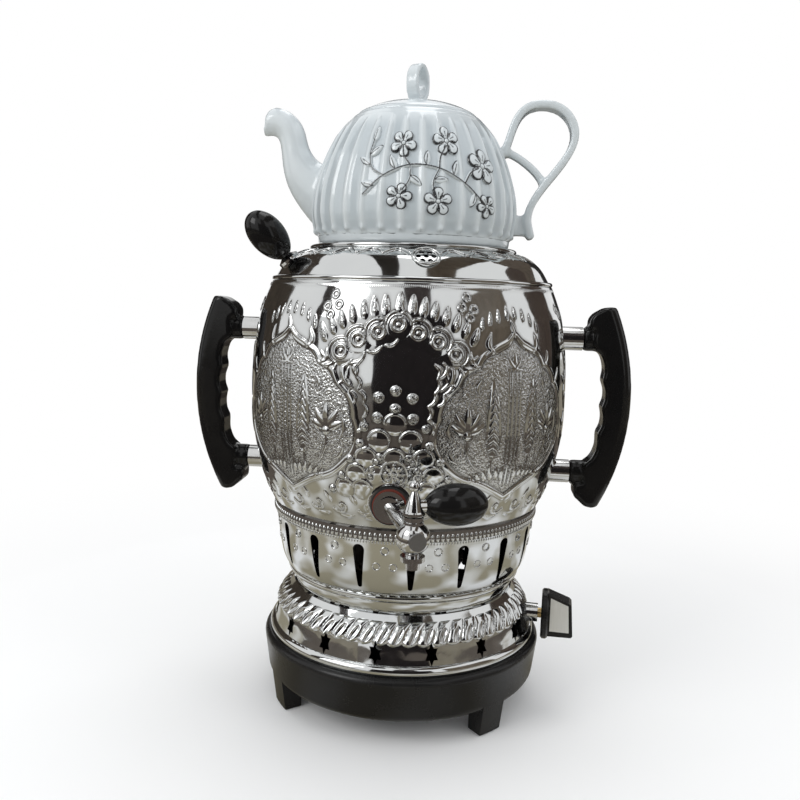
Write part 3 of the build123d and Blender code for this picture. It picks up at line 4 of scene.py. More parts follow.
import bmesh
import bpy
import numpy as np
from mathutils import Matrix, Vector


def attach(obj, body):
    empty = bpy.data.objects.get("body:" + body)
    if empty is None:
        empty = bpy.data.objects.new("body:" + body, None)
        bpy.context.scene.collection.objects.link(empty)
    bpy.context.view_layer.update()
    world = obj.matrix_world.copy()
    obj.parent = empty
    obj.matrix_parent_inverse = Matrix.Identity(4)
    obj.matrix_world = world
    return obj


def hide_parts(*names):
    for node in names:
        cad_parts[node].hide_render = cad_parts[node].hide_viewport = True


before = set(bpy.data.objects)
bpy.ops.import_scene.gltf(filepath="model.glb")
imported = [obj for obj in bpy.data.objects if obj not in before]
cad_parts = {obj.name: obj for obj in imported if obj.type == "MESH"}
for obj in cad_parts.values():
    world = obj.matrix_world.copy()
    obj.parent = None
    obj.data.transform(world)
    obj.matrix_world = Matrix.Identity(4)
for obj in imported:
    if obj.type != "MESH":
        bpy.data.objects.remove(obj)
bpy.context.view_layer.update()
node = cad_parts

# The table and the light.
# The samovar stands on a plain pale table in a white room, lit by two wide soft lamps and one above it.
# Dark cloths hang outside the view, because polished chrome is only as lively as what it mirrors.

def add_node(tree, kind, settings={}, sockets={}):
    """A new node: its settings come first, then the values or links of its sockets."""
    made = tree.nodes.new(kind)
    for key, value in settings.items():
        setattr(made, key, value)
    for key, value in sockets.items():
        value = getattr(value, "socket", value)
        if isinstance(value, bpy.types.NodeSocket):
            tree.links.new(value, made.inputs[key])
        else:
            made.inputs[key].default_value = value
    return made


class Tone:
    """A value in a finish's node tree. Sums written with it add Math nodes."""

    def __init__(self, finish, socket):
        self.finish, self.socket = finish, socket

    def sum(self, operation, first, second):
        made = self.finish.node("ShaderNodeMath", {"operation": operation}, {0: first, 1: second})
        return Tone(self.finish, made.outputs[0])

    def __add__(self, other): return self.sum("ADD", self, other)
    def __radd__(self, other): return self.sum("ADD", other, self)
    def __sub__(self, other): return self.sum("SUBTRACT", self, other)
    def __rsub__(self, other): return self.sum("SUBTRACT", other, self)
    def __mul__(self, other): return self.sum("MULTIPLY", self, other)
    def __rmul__(self, other): return self.sum("MULTIPLY", other, self)
    def __lt__(self, other): return self.sum("LESS_THAN", self, other)
    def larger(self, other): return self.sum("MAXIMUM", self, other)


class Finish:
    """A material with one Principled shader, whose sockets take the numbers that are given by name."""

    def __init__(self, name, **sockets):
        self.material = bpy.data.materials.new(name)
        self.material.use_nodes = True
        self.tree = self.material.node_tree
        self.shader = self.tree.nodes["Principled BSDF"]
        for socket, value in sockets.items():
            self.shader.inputs[socket.replace("_", " ")].default_value = value

    def node(self, kind, settings={}, sockets={}):
        return add_node(self.tree, kind, settings, sockets)

    def feed(self, name, value):
        self.tree.links.new(getattr(value, "socket", value), self.shader.inputs[name])

    def grain(self, size, stretch=(1, 1, 1), detail=2.0):
        """Noise from 0 to 1 with grains of about that size in metres."""
        place = self.node("ShaderNodeTexCoord").outputs["Object"]
        place = self.vector("MULTIPLY", place, stretch)[0]
        made = self.node("ShaderNodeTexNoise", {}, {"Vector": place, "Scale": 1 / size, "Detail": detail})
        return Tone(self, made.outputs["Fac"])

    def vector(self, operation, *values):
        return self.node("ShaderNodeVectorMath", {"operation": operation}, dict(enumerate(values))).outputs

    def layer(self, name):
        """The value that a mesh carries on its points under this name, or 0."""
        return Tone(self, self.node("ShaderNodeAttribute", {"attribute_name": name}).outputs["Fac"])

    def blend(self, factor, *colours):
        """From the first colour to the second; each is three numbers or a socket."""
        first, second = [(*colour, 1) if isinstance(colour, tuple) else colour for colour in colours]
        return self.node("ShaderNodeMix", {"data_type": "RGBA"}, {0: factor, 6: first, 7: second}).outputs[2]

    def relief(self, height, depth):
        """Bumps the surface by height, which runs from 0 to 1 over depth metres."""
        made = self.node("ShaderNodeBump", {}, {"Strength": 1.0, "Distance": depth, "Height": height})
        self.feed("Normal", made.outputs["Normal"])

    def show(self, mask, first, second, roughness, height=None, depth=0.0):
        """Colours it from the first colour to the second by a mask, and bumps it if a height is given."""
        self.feed("Base Color", self.blend(mask, first, second))
        self.feed("Roughness", roughness)
        if height:
            self.relief(height, depth)


# the view is from a little to the right and above, and leans by a degree or two
eye = Vector((0.04951, -0.56591, 0.28540))
heading, down, tilt = radians(5.60), radians(7.42), radians(1.71)
forward = Vector((-sin(heading) * cos(down), cos(heading) * cos(down), -sin(down)))
level = Vector((cos(heading), sin(heading), 0))
upright = level.cross(forward)
across = level * cos(tilt) + upright * sin(tilt)
camera = bpy.data.objects.new("camera", bpy.data.cameras.new("camera"))
camera.data.lens, camera.data.sensor_width, camera.data.clip_start = 35.8335, 36, 0.02
camera.matrix_world = Matrix((across, across.cross(forward), -forward)).transposed().to_4x4()
camera.matrix_world.translation = eye
bpy.context.collection.objects.link(camera)
bpy.context.scene.camera = camera
bpy.context.scene.view_settings.view_transform = "Standard"

# the room is white to the camera and in mirrors, and its light is a little less than that
room = bpy.data.worlds.new("room")
room.use_nodes = True
bpy.context.scene.world = room
walls = room.node_tree
ray = add_node(walls, "ShaderNodeLightPath").outputs
seen = ray["Is Camera Ray"]
for kind in ("Is Glossy Ray", "Is Transmission Ray"):
    more = {0: seen, 1: ray[kind]}
    seen = add_node(walls, "ShaderNodeMath", {"operation": "ADD", "use_clamp": True}, more).outputs[0]
whites = {0: seen, 6: (0.80, 0.81, 0.83, 1), 7: (1, 1, 1, 1)}
white = add_node(walls, "ShaderNodeMix", {"data_type": "RGBA"}, whites).outputs[2]
walls.links.new(white, walls.nodes["Background"].inputs["Color"])

# the table fades into the white of the room; its patches show in mirrors, not in the view itself
table = Finish("table_top", Roughness=0.6, Specular_IOR_Level=0.1)
seen = Tone(table, table.node("ShaderNodeLightPath").outputs["Is Camera Ray"])
patches = (table.grain(0.11, detail=1.0) - 0.5) * 4.5 + 0.34
table.feed("Base Color", table.blend(patches + seen * 3, (0.36, 0.325, 0.235), (0.93, 0.93, 0.92)))
away = table.vector("LENGTH", table.node("ShaderNodeTexCoord").outputs["Object"])["Value"]
fade = {"Value": away, "From Min": 0.22, "From Max": 0.75}
far = Tone(table, table.node("ShaderNodeMapRange", {"interpolation_type": "SMOOTHSTEP"}, fade).outputs[0])
white = table.node("ShaderNodeEmission", {}, {"Color": (1, 1, 1, 1)}).outputs[0]
shown = table.node("ShaderNodeMixShader", {}, {0: far * seen, 1: table.shader.outputs[0], 2: white})
table.tree.links.new(shown.outputs[0], table.tree.nodes["Material Output"].inputs["Surface"])


def placed(name, mesh, *finishes):
    piece = bpy.data.objects.new(name, mesh)
    bpy.context.collection.objects.link(piece)
    for finish in finishes:
        mesh.materials.append(finish.material)
    return piece


def plain_mesh(name, points, faces, smooth=True):
    mesh = bpy.data.meshes.new(name)
    mesh.from_pydata([tuple(p) for p in points], [], [tuple(f) for f in faces])
    mesh.polygons.foreach_set("use_smooth", [smooth] * len(mesh.polygons))
    mesh.update()
    return mesh


square = [(0, 1, 2, 3)]
floor = placed("table", plain_mesh("table", [(-6, -6, 0), (6, -6, 0), (6, 6, 0), (-6, 6, 0)], square), table)


def mirrored(name, points, faces, weave, dark, pale, stretch=(1, 1, 1)):
    """A dull thing that stands out of view and shows in mirrors only."""
    dye = Finish(name, Roughness=1.0)
    dye.feed("Base Color", dye.blend(dye.grain(weave, stretch), dark, pale))
    thing = placed(name, plain_mesh(name, points, faces), dye)
    thing.visible_camera = thing.visible_diffuse = thing.visible_shadow = False


for name, dye, heading_deg, distance, width, low, high in (
    ("cloth_front", (0.014, 0.010, 0.011), 6, 1.25, 1.15, 0.0, 1.0),
    ("cloth_front_high", (0.05, 0.038, 0.036), 10, 1.3, 0.5, 1.0, 2.2),
    ("cloth_window_post", (0.03, 0.022, 0.018), -66, 1.6, 0.24, 0.0, 1.9),
    ("cloth_right", (0.15, 0.12, 0.09), 64, 1.7, 1.35, 0.1, 1.6),
    ("cloth_left", (0.05, 0.038, 0.028), -126, 1.5, 1.3, 0.0, 1.7),
    ("cloth_back", (0.02, 0.017, 0.016), 172, 1.9, 1.3, 0.1, 1.5),
    ("cloth_back_right", (0.07, 0.05, 0.04), 122, 1.8, 0.9, 0.0, 1.8),
    ("cloth_high_left", (0.03, 0.025, 0.022), -158, 1.5, 0.35, 1.0, 2.4),
    ("cloth_high_right", (0.10, 0.078, 0.06), 142, 1.5, 0.9, 0.9, 2.2),
):
    turn = radians(heading_deg)
    out = Vector((sin(turn), -cos(turn), 0)) * distance
    side = Vector((cos(turn), sin(turn), 0)) * width / 2
    corners = [out + side * s + Vector((0, 0, z)) for s, z in ((-1, low), (1, low), (1, high), (-1, high))]
    mirrored(name, corners, square, 0.08, tuple(c * 0.5 for c in dye), tuple(c * 1.5 for c in dye))

# two covers hang flat under the ceiling
for name, dye, across, along in (
    ("ceiling_left", (0.03, 0.024, 0.02), -0.33, 0.3),
    ("ceiling_right", (0.11, 0.085, 0.065), 0.62, 0.55),
):
    corners = [(across + along / 2 * x, y, 1.75) for x, y in ((-1, -1.0), (1, -1.0), (0.7, 1.1), (-1.2, 1.1))]
    mirrored(name, corners, square, 0.12, tuple(c * 0.5 for c in dye), tuple(c * 1.6 for c in dye))

# a dark runner lies round the table's middle
turns = np.radians(range(0, 360, 10))
ring = [(radius * sin(a), -radius * cos(a), 0.002) for radius in (0.42, 3.5) for a in turns]
strips = [(k, k + 36, (k + 1) % 36 + 36, (k + 1) % 36) for k in range(36)]
mirrored("runner", ring, strips, 0.3, (0.03, 0.023, 0.018), (0.14, 0.11, 0.085))

# a low wooden rail stands round the table's far sides
turns = np.radians(range(26, 335, 6))
ring = [(0.95 * sin(a), -0.95 * cos(a), z) for z in (0.003, 0.15) for a in turns]
strips = [(k, k + 1, k + len(turns) + 1, k + len(turns)) for k in range(len(turns) - 1)]
mirrored("rail", ring, strips, 0.15, (0.24, 0.21, 0.165), (0.42, 0.385, 0.31), (1, 1, 3))

for name, place, width, power in (
    ("window_lamp", (-1.5, -1.3, 1.5), 1.1, 16),
    ("fill_lamp", (1.9, -0.9, 1.3), 0.8, 5),
    ("top_lamp", (0.2, 0.6, 2.2), 1.2, 8),
):
    lamp = bpy.data.objects.new(name, bpy.data.lights.new(name, "AREA"))
    lamp.data.size, lamp.data.energy = width, power
    lamp.location = place
    lamp.rotation_euler = (Vector((0, 0, 0.2)) - Vector(place)).to_track_quat("-Z", "Y").to_euler()
    bpy.context.collection.objects.link(lamp)


# The base tray.
# A black phenolic moulding on four feet, polished in its mould, with a faint cloud of wear.
# Four screws come up through it and hold everything above.

def coat(finish, *names):
    for name in names:
        for held in node[name].material_slots:
            held.material = finish.material


moulding = Finish("black_moulding", Specular_IOR_Level=0.28, IOR=1.5)
cloud, speck = moulding.grain(0.03), moulding.grain(0.0012)
rough = 0.16 + cloud * 0.16 + speck * 0.05
moulding.show(cloud, (0.006, 0.006, 0.0065), (0.016, 0.0155, 0.015), rough, speck, 0.00004)
coat(moulding, "base_tray", "gas_knob", "valve_bezel")


# Screws, nuts, rods and plates inside.
# Plain steel parts plated with bright zinc, with the faint yellow cloud of the bath and turned marks.

zinc = Finish("zinc_plate", Metallic=1.0)
bath, lay = zinc.grain(0.006), zinc.grain(0.0009, (1, 1, 6))
rough = 0.22 + bath * 0.14 + lay * 0.1
zinc.show(bath, (0.56, 0.56, 0.55), (0.66, 0.64, 0.58), rough, lay, 0.00003)
coat(
    zinc, "base_screws", "base_nuts", "handle_studs", "handle_nuts", "handle_washers", "tap_back_nut",
    "tap_handle_pin", "lid_knob_screw", "valve_lock_nut", "gas_inlet_nuts",
)


# The burner.
# A cast iron body with a drilled cap, blackened and browned by the flame.

iron = Finish("burner_iron", Metallic=0.7)
scale, soot = iron.grain(0.0016, detail=4.0), iron.grain(0.018)
iron.show(soot, (0.05, 0.047, 0.045), (0.17, 0.13, 0.10), 0.5 + scale * 0.3, scale, 0.00025)
coat(iron, "burner_body", "burner_cap")

# the plate, rods and pan about the flame are coloured near black: partly the dark of heat and soot, partly
# painted shade of the chamber they stand in, seen through the slots
soot_and_shade_finish = Finish("soot_and_shade_steel", Metallic=0.8, Specular_IOR_Level=0.2)
blueing, dust = soot_and_shade_finish.grain(0.02), soot_and_shade_finish.grain(0.003, detail=3.0)
soot_and_shade_finish.show(blueing, (0.018, 0.016, 0.017), (0.06, 0.05, 0.045), 0.5 + dust * 0.35, dust, 0.0001)
coat(soot_and_shade_finish, "burner_plate", "burner_screws", "tie_rods", "tie_nuts", "tank_pan")


# The gas valve and its pipes.
# Turned and drawn brass, dulled to brown in places, with a steel spring behind the plug and a brushed
# aluminium plate on the knob.

brass = Finish("valve_brass", Metallic=1.0)
tarnish, turning = brass.grain(0.007, detail=3.0), brass.grain(0.0007)
brass.show(tarnish, (0.72, 0.54, 0.26), (0.5, 0.36, 0.17), 0.2 + tarnish * 0.25, turning, 0.00003)
coat(brass, "gas_valve_body", "gas_jet", "valve_plug", "valve_stem", "gas_feed_pipe", "gas_inlet")

spring = Finish("spring_steel", Metallic=1.0)
drawn = spring.grain(0.002)
spring.show(drawn, (0.5, 0.5, 0.49), (0.6, 0.59, 0.56), 0.3 + drawn * 0.15)
coat(spring, "valve_spring")

inlay = Finish("knob_inlay", Metallic=1.0)
brushed = inlay.grain(0.0004, (1, 1, 0.03))
inlay.show(brushed, (0.74, 0.76, 0.77), (0.92, 0.93, 0.93), 0.24 + brushed * 0.2, brushed, 0.00002)
coat(inlay, "gas_knob_plate")


# Chromed sheet: collar, waist, skirt, tank, lid and teapot ring.
# Thin brass sheet, spun and embossed, then nickelled and chromed: a mirror with slow waves and a few smears.

def chrome_finish(name, grained=False, soot_and_shade_inside=False):
    chrome = Finish(name, Metallic=1.0)
    smear = chrome.grain(0.035, detail=3.0)
    wave = chrome.grain(0.022, detail=1.0) + chrome.grain(0.0085, detail=0.0) * 0.16
    colour = chrome.blend(smear, (0.575, 0.59, 0.595), (0.66, 0.67, 0.665))
    rough = 0.035 + smear * 0.07
    if grained:
        grit, residue_and_shade = chrome.layer("grained"), chrome.layer("residue_and_shade")
        # the hollows of the embossing are coloured darker: partly polish left behind in them, partly painted
        # shade
        colour = chrome.blend(residue_and_shade * 0.85, colour, (0.10, 0.09, 0.08))
        rough = rough + grit * 0.12 + residue_and_shade * 0.1
        chrome.relief(chrome.grain(0.0015, detail=1.0) * grit * 1.3 + wave * 0.7, 0.0006)
    else:
        chrome.relief(wave, 0.0005)
    if soot_and_shade_inside:
        # the side that looks at the axis is coloured near black and dull: partly soot from the flame, partly
        # painted shade inside the collar and skirt
        place = chrome.node("ShaderNodeTexCoord").outputs
        from_axis = chrome.vector("MULTIPLY", place["Object"], (1, 1, 0))[0]
        inside = Tone(chrome, chrome.vector("DOT_PRODUCT", from_axis, place["Normal"])["Value"]) < 0
        colour = chrome.blend(inside, colour, (0.012, 0.010, 0.010))
        rough = rough.larger(inside * 0.7)
    chrome.feed("Base Color", colour)
    chrome.feed("Roughness", rough)
    return chrome


chrome = chrome_finish("chromed_sheet")
coat(chrome, "waist_ring", "lid_dome", "teapot_ring")
# collar and skirt are chrome outside and near black inside: partly soot, partly painted shade
coat(chrome_finish("fireside_chrome_shaded_inside", soot_and_shade_inside=True), "foot_collar", "burner_skirt")

seam = Finish("seam_steel", Metallic=1.0)
dirt = seam.grain(0.004)
seam.show(dirt, (0.14, 0.13, 0.12), (0.34, 0.33, 0.32), 0.25 + dirt * 0.2)
coat(seam, "seam_ring")


# The tank.
# Thin brass sheet pressed between dies before it is chromed: a medallion over the tap, two ogee panels with
# cypresses and palmettes on a grained ground, and the same again on the back. Its foot and lip are turned in.

girth = 1.85                 # mm round the tank for a degree
crown = 1.2                  # heading of the pattern's middle, degrees
foot, tank_tall = 144.0, 150.0
tap_up = 16.7                # from the tank's foot to the tap's axis


def ramp(value):
    return np.clip(value, 0, 1)


def through(points, spread=8):
    """A smooth open line through some points, which may carry a width as third value."""
    p = np.asarray(points, float)
    if len(p) < 3:
        return p
    p = np.vstack([2 * p[0] - p[1], p, 2 * p[-1] - p[-2]])
    t = np.linspace(0, 1, spread, endpoint=False)[:, None]
    runs = [
        0.5 * (2 * b + (c - a) * t + (2 * a - 5 * b + 4 * c - d) * t**2 + (3 * b - a - 3 * c + d) * t**3)
        for a, b, c, d in zip(p, p[1:], p[2:], p[3:])
    ]
    return np.vstack(runs + [p[-2:-1]])


def bow(a, b, bulge):
    """An arc of nine points from a to b that bulges to the left of its way by a share of its length."""
    run, t = b - a, np.linspace(0, 1, 9)[:, None]
    return a + run * t + np.array([-run[1], run[0]]) * bulge * 4 * t * (1 - t)


def radius_of(side, height):
    """The radius of a turned outline at some heights."""
    return np.interp(height, side[:, 1], side[:, 0])


def turned(radius, angle, height):
    """A grid of points round the axis; the angle is their heading in radians."""
    return np.dstack([radius * np.sin(angle), -radius * np.cos(angle), height])


def arc(x, z, radius, angles):
    return [(x + radius * sin(a), z + radius * cos(a)) for a in angles]


def off_line(x, z, a, b):
    """The share of the way from a to b where each place comes nearest to it, and how far off it is there."""
    run = b[:2] - a[:2]
    t = ramp(((x - a[0]) * run[0] + (z - a[1]) * run[1]) / max(run @ run, 1e-9))
    return t, np.hypot(x - a[0] - t * run[0], z - a[1] - t * run[1])


class Embossing:
    """A sheet laid flat, in mm: x runs round the axis, z up it, and high is what the dies press out."""

    def __init__(self, reach, tall, step=0.25):
        self.x, self.z = np.arange(-reach, reach + step, step), np.arange(0.0, tall + step, step)
        self.ground, self.high, self.grain = np.zeros((3, self.z.size, self.x.size))
        self.middle, self.step = crown * girth, step

    def both(self, form, points, *sizes, about=None, **more):
        """Presses a form to the right of an upright line and its mirror image to the left."""
        for side in (1, -1):
            p = np.array(points, float)
            p[..., 0] = (self.middle if about is None else about) + side * p[..., 0]
            if "lean" in more:
                form(p, *sizes, **{**more, "lean": side * more["lean"]})
            else:
                form(p, *sizes, **more)

    def patch(self, p, reach):
        low, high = p[:, :2].min(0) - reach, p[:, :2].max(0) + reach
        i = slice(*np.searchsorted(self.x, (low[0], high[0])))
        k = slice(*np.searchsorted(self.z, (low[1], high[1])))
        return (k, i), self.x[i][None, :], self.z[k][:, None]

    def nearness(self, p, wide):
        """How far each point lies from a line, in half widths of the line there."""
        half = p[:, 2] / 2 if p.shape[1] > 2 else np.full(len(p), wide / 2)
        where, x, z = self.patch(p, half.max() + 0.5)
        best = np.full((z.size, x.size), 9.0)
        for a, b, wa, wb in zip(p, p[1:], half, half[1:]):
            t, away = off_line(x, z, a, b)
            best = np.minimum(best, away / np.maximum(wa + (wb - wa) * t, 0.05))
        return where, best

    def line(self, points, wide, tall, grained=False):
        """A round-backed ridge along a line; a third value at its points is its width there."""
        self.lay(*self.nearness(through(points), wide), tall, grained=grained)

    def lay(self, where, q, tall, over=False, grained=False):
        """Adds a form with its edge at q = 1: over the others, merged, or cut in where tall is below 0."""
        rise, held = tall * ramp(1 - q**2) ** 0.8, self.high[where]
        if over:
            held[:] = np.where(q < 1, rise, held)
        else:
            held[:] = held + rise if tall < 0 else np.maximum(held, rise)
        if grained:
            self.grain[where] = np.maximum(self.grain[where], ramp((0.85 - q) * 6))

    def boss(self, points, wide, tall, long=None, lean=0.0, **more):
        """A domed boss at each point: round, or as long as said and leaning to the right by some degrees."""
        for at in np.atleast_2d(points):
            long_half, wide_half, turn = (long or wide) / 2, wide / 2, radians(lean)
            where, x, z = self.patch(np.atleast_2d(at), max(long_half, wide_half) + 0.5)
            x, z = x - at[0], z - at[1]
            up, aside = x * sin(turn) + z * cos(turn), x * cos(turn) - z * sin(turn)
            taper = wide_half * (1 - 0.35 * np.clip(up / long_half, -1, 1)) if long else wide_half
            self.lay(where, np.hypot(up / long_half, aside / taper), tall, **more)

    def ring(self, points, across, wide, tall):
        for at in np.atleast_2d(points):
            where, x, z = self.patch(np.atleast_2d(at), across / 2 + wide)
            q = np.abs(np.hypot(x - at[0], z - at[1]) - across / 2) / (wide / 2)
            self.lay(where, q, tall)

    def scallops(self, nodes, bulge, wide, tall):
        """Arcs from node to node, thin at their ends."""
        n = np.asarray(nodes, float)
        widths = wide * (0.45 + 0.55 * np.sin(np.pi * np.linspace(0, 1, 9)))
        for a, b in zip(n, n[1:]):
            self.lay(*self.nearness(np.column_stack([bow(a, b, bulge), widths]), wide), tall)

    def inside(self, outline):
        """How deep each point lies inside a closed outline, in mm, less than 0 outside."""
        where, x, z = self.patch(outline, 8)
        odd, away = np.zeros((z.size, x.size), bool), np.full((z.size, x.size), 99.0)
        for a, b in zip(outline, np.roll(outline, -1, axis=0)):
            away = np.minimum(away, off_line(x, z, a, b)[1])
            if a[1] != b[1]:
                odd ^= ((a[1] > z) != (b[1] > z)) & (x < a[0] + (z - a[1]) / (b[1] - a[1]) * (b[0] - a[0]))
        return where, np.where(odd, away, -away)


press = Embossing(92 * girth, tank_tall)


def at(*places):
    """Points given as degrees from the pattern's middle and height above the table."""
    return [(p[0] * girth, p[1] - foot) + tuple(p[2:]) for p in places]


def up(*places):
    """Points given as mm from a panel's middle and height above the table."""
    return [(p[0], p[1] - foot) + tuple(p[2:]) for p in places]


# panels: an ogee field with a grained ground, sunk inside a flat bright lip
def panel_outline(centre):
    spire = through(at((0, 263), (2.6, 257.5), (7.2, 253.5)), 6)
    nodes = np.array(at((7.2, 253.5), (13.6, 244.5), (20.2, 233.5), (26.3, 213), (25.6, 192)))
    flanks = [bow(a, b, bulge)[1:] for a, b, bulge in zip(nodes, nodes[1:], (0.16, 0.16, 0.13, 0.14))]
    keel = through(at((25.6, 192), (18.5, 180), (9.5, 174), (0, 165)), 6)[1:]
    half = np.vstack([spire, *flanks, keel])
    return np.vstack([half, half[::-1][1:-1] * (-1, 1)]) + (centre, 0)


panel_turn, lip_tall, well_deep = 40.0, 0.45, 0.55
for side in (-1, 1):
    centre = press.middle + side * panel_turn * girth
    where, deep = press.inside(panel_outline(centre))
    lip = lip_tall * ramp(1 - ((deep + 1.7) / 1.9) ** 2) ** 0.5
    well = well_deep * ramp(deep / 0.8)
    press.ground[where] = np.where(deep > 0, -well, np.maximum(press.ground[where], lip))
    press.grain[where] = np.maximum(press.grain[where], ramp((deep - 0.8) * 2))

    def inner(form, points, *sizes, **more):
        press.both(form, points, *sizes, about=centre, **more)

    # a fluted shaft with a lotus on top
    for x in (1.6, 4.6):
        inner(press.line, up((x, 172), (x, 210), (x, 243)), 1.5, 0.45)
    inner(press.line, up((0, 244, 3.0), (3.4, 247.5, 3.2), (5.6, 253.0, 0.6)), 2.0, 0.5)
    press.boss(np.array(up((0, 249.5))) + (centre, 0), 4.4, 0.6, long=9.5)
    inner(press.line, up((0, 243.4), (6.0, 243.4)), 1.8, 0.55)
    # cypresses with carved fronds
    inner(press.boss, up((15.0, 214)), 10.5, 1.1, long=50, lean=2)
    for k in range(9):
        z, wide = 194 + 4.6 * k, 4.6 * (1 - 0.08 * k)
        for way in (wide, -wide):
            inner(press.line, up((15.0, z + 1.6), (15.0 + way * 0.55, z), (15.0 + way, z - 2.6)), 0.9, -0.5)
    inner(press.line, up((15.0, 189), (15.0, 180)), 2.0, 0.5)
    # palmettes on bent stems
    inner(press.line, up((19.0, 181, 1.2), (27.0, 186, 1.6), (31.5, 195, 1.8), (32.0, 203, 2.0)), 1.6, 0.5)
    for lean, long in ((-62, 12), (-31, 14.5), (0, 16), (31, 14.5), (62, 12)):
        a = radians(lean)
        x, z = 32.0 + sin(a) * long * 0.58, 205 + cos(a) * long * 0.58
        inner(press.boss, up((x, z)), 5.4, 1.0, long=long, lean=lean)
    inner(press.boss, up((32.0, 204.5)), 5.6, 1.2)
    inner(press.ring, up((32.0, 204.5)), 8.0, 1.2, 0.5)
    # leaves and rings in the corners
    for tall, *places in (
        (0.6, (25.5, 229, 0.6), (26.5, 233.5, 3.4), (23.0, 239, 0.6)),
        (0.6, (29.5, 226, 0.6), (33.5, 229, 3.2), (37.5, 227, 0.6)),
        (0.6, (41.0, 200, 0.6), (44.0, 207, 3.2), (42.0, 215, 0.6)),
        (0.55, (36.0, 187, 0.6), (40.5, 190, 3.0), (43.5, 196, 0.6)),
    ):
        inner(press.line, up(*places), 3.0, tall)
    inner(press.ring, up((9.0, 252.5), (24.5, 223.5), (40.5, 221.0)), 3.4, 1.1, 0.5)
    # a bed of upright leaves at the foot
    for k in range(6):
        x = 5.5 + 4.3 * k
        inner(press.boss, up((x, 180.5 - 0.55 * abs(k - 1))), 3.3, 0.6, long=11 - 0.7 * k, lean=4 * k)

    # what stands up from the ground is polished
    press.grain[where][press.high[where] > 0.12] = 0

    # the spire over the panel, its eaves and the cusps beside it
    spire = np.array(at((0, 263.5, 1.0), (-0.6, 267.5, 3.6), (-1.4, 272.5, 0.5)))
    press.line(spire + (centre, 0, 0), 3.0, 0.7)
    for wide, tall, *places in (
        (2.4, 0.6, (0.4, 264.5, 2.6), (3.4, 260.5, 2.6), (7.6, 257.0, 2.2), (11.5, 252.5, 0.6)),
        (4.0, 0.75, (8.6, 253.5, 1.0), (10.4, 258.5, 4.2), (9.4, 265.5, 0.5)),
        (3.6, 0.65, (14.6, 244.5, 1.0), (16.6, 248.5, 3.6), (16.8, 254.0, 0.5)),
        (3.4, 0.6, (21.5, 233.0, 1.0), (24.0, 237.5, 3.4), (24.8, 243.0, 0.5)),
    ):
        inner(press.line, at(*places), wide, tall)
    # drops over the panel
    for x, z in (
        (-12.6, 270), (-9.6, 273), (-6.4, 274.6), (-2.8, 276.4), (0.8, 276.6), (4.4, 275.6), (7.8, 272.6),
        (10.8, 269.0),
    ):
        drop = np.array(at((x, z + 0.4))) + (centre, 0)
        press.boss(drop, 2.6, 0.55, long=9.0, lean=-x * 0.6, grained=True)

# medallion: tiers of fish scales, domes with a bright rim over their upper half, under a lobed mirror
scale_wide = 13.0
for height, *turns in ((211.0, 0), (201.0, 4.9), (190.0, 0, 9.0), (179.5, 5.6, 12.4), (170.0, 10.6, 16.6)):
    for turn in turns:
        for side in (1, -1) if turn else (1,):
            x, z = press.middle + side * turn * girth, height - foot
            press.boss((x, z), scale_wide, 1.0, over=True)
            press.line(arc(x, z, scale_wide * 0.47, np.radians(np.linspace(-80, 80, 11))), 1.5, 1.0)
knots = at((9.6, 209.0), (10.8, 198.6), (14.2, 188.2), (17.6, 177.4), (4.6, 190.8), (21.5, 168.0))
press.both(press.boss, knots, 5.4, 0.9, over=True, grained=True)
press.both(press.boss, at((5.1, 226.8), (5.4, 214.8)), 6.2, 1.0, over=True, grained=True)
press.boss(np.array(at((0, 231.0), (0, 220.4))) + (press.middle, 0), 6.2, 1.0, over=True, grained=True)
# the field's lobed edge, doubled below its shoulders
for bulge, wide, tall, *places in (
    (0.30, 1.9, 0.8, (0, 260.8), (4.6, 258.2), (10.2, 254.2), (15.2, 246.6)),
    (0.24, 1.9, 0.8, (15.2, 246.6), (12.6, 238.4), (11.9, 230.4), (9.9, 222.4), (10.0, 214.2), (11.6, 206.0)),
    (0.26, 1.5, 0.7, (16.6, 237.6), (14.6, 229.6), (12.9, 222.6)),
):
    press.both(press.scallops, at(*places), bulge, wide, tall)
# curled leaves at the shoulders
for wide, tall, *places in (
    (3.0, 0.85, (14.2, 247.6, 0.8), (16.9, 243.4, 3.6), (16.4, 236.2, 3.0), (13.6, 231.6, 0.6)),
    (2.6, 0.7, (18.6, 247.2, 0.6), (20.2, 241.0, 2.8), (18.6, 233.6, 2.6), (15.6, 228.6, 0.6)),
    (2.4, 0.8, (11.4, 246.8, 0.5), (13.4, 243.4, 2.6), (12.6, 238.8, 0.6)),
    (2.4, 0.7, (19.6, 251.6, 0.8), (23.4, 249.0, 2.6), (25.6, 251.8, 0.5)),
    (2.2, 0.6, (19.8, 246.2, 0.8), (23.6, 243.6, 2.4), (26.4, 246.0, 0.5)),
):
    press.both(press.line, at(*places), wide, tall)
# a crown of rosettes, from its ends to its top
for turn, height in ((18.2, 252.6), (12.6, 259.8), (6.3, 264.6), (0.0, 269.2)):
    for side in (1, -1) if turn else (1,):
        x, z = press.middle + side * turn * girth, height - foot
        out = atan2(side * turn * girth, height - 236)
        press.boss((x, z), 17.0, 0.5, over=True)
        for across, wide, tall in ((15.4, 1.9, 1.1), (11.6, 0.9, 0.7)):
            petal = arc(x, z, across / 2, out + np.radians(np.linspace(-92, 92, 13)))
            widths = wide * np.sin(np.linspace(0.25, pi - 0.25, 13))
            press.line(np.column_stack([petal, widths]), wide, tall)
        press.ring((x, z), 7.4, 2.0, 1.1)
        press.boss((x, z), 4.8, 0.25, over=True)
        press.boss((x, z), 2.4, 0.8)
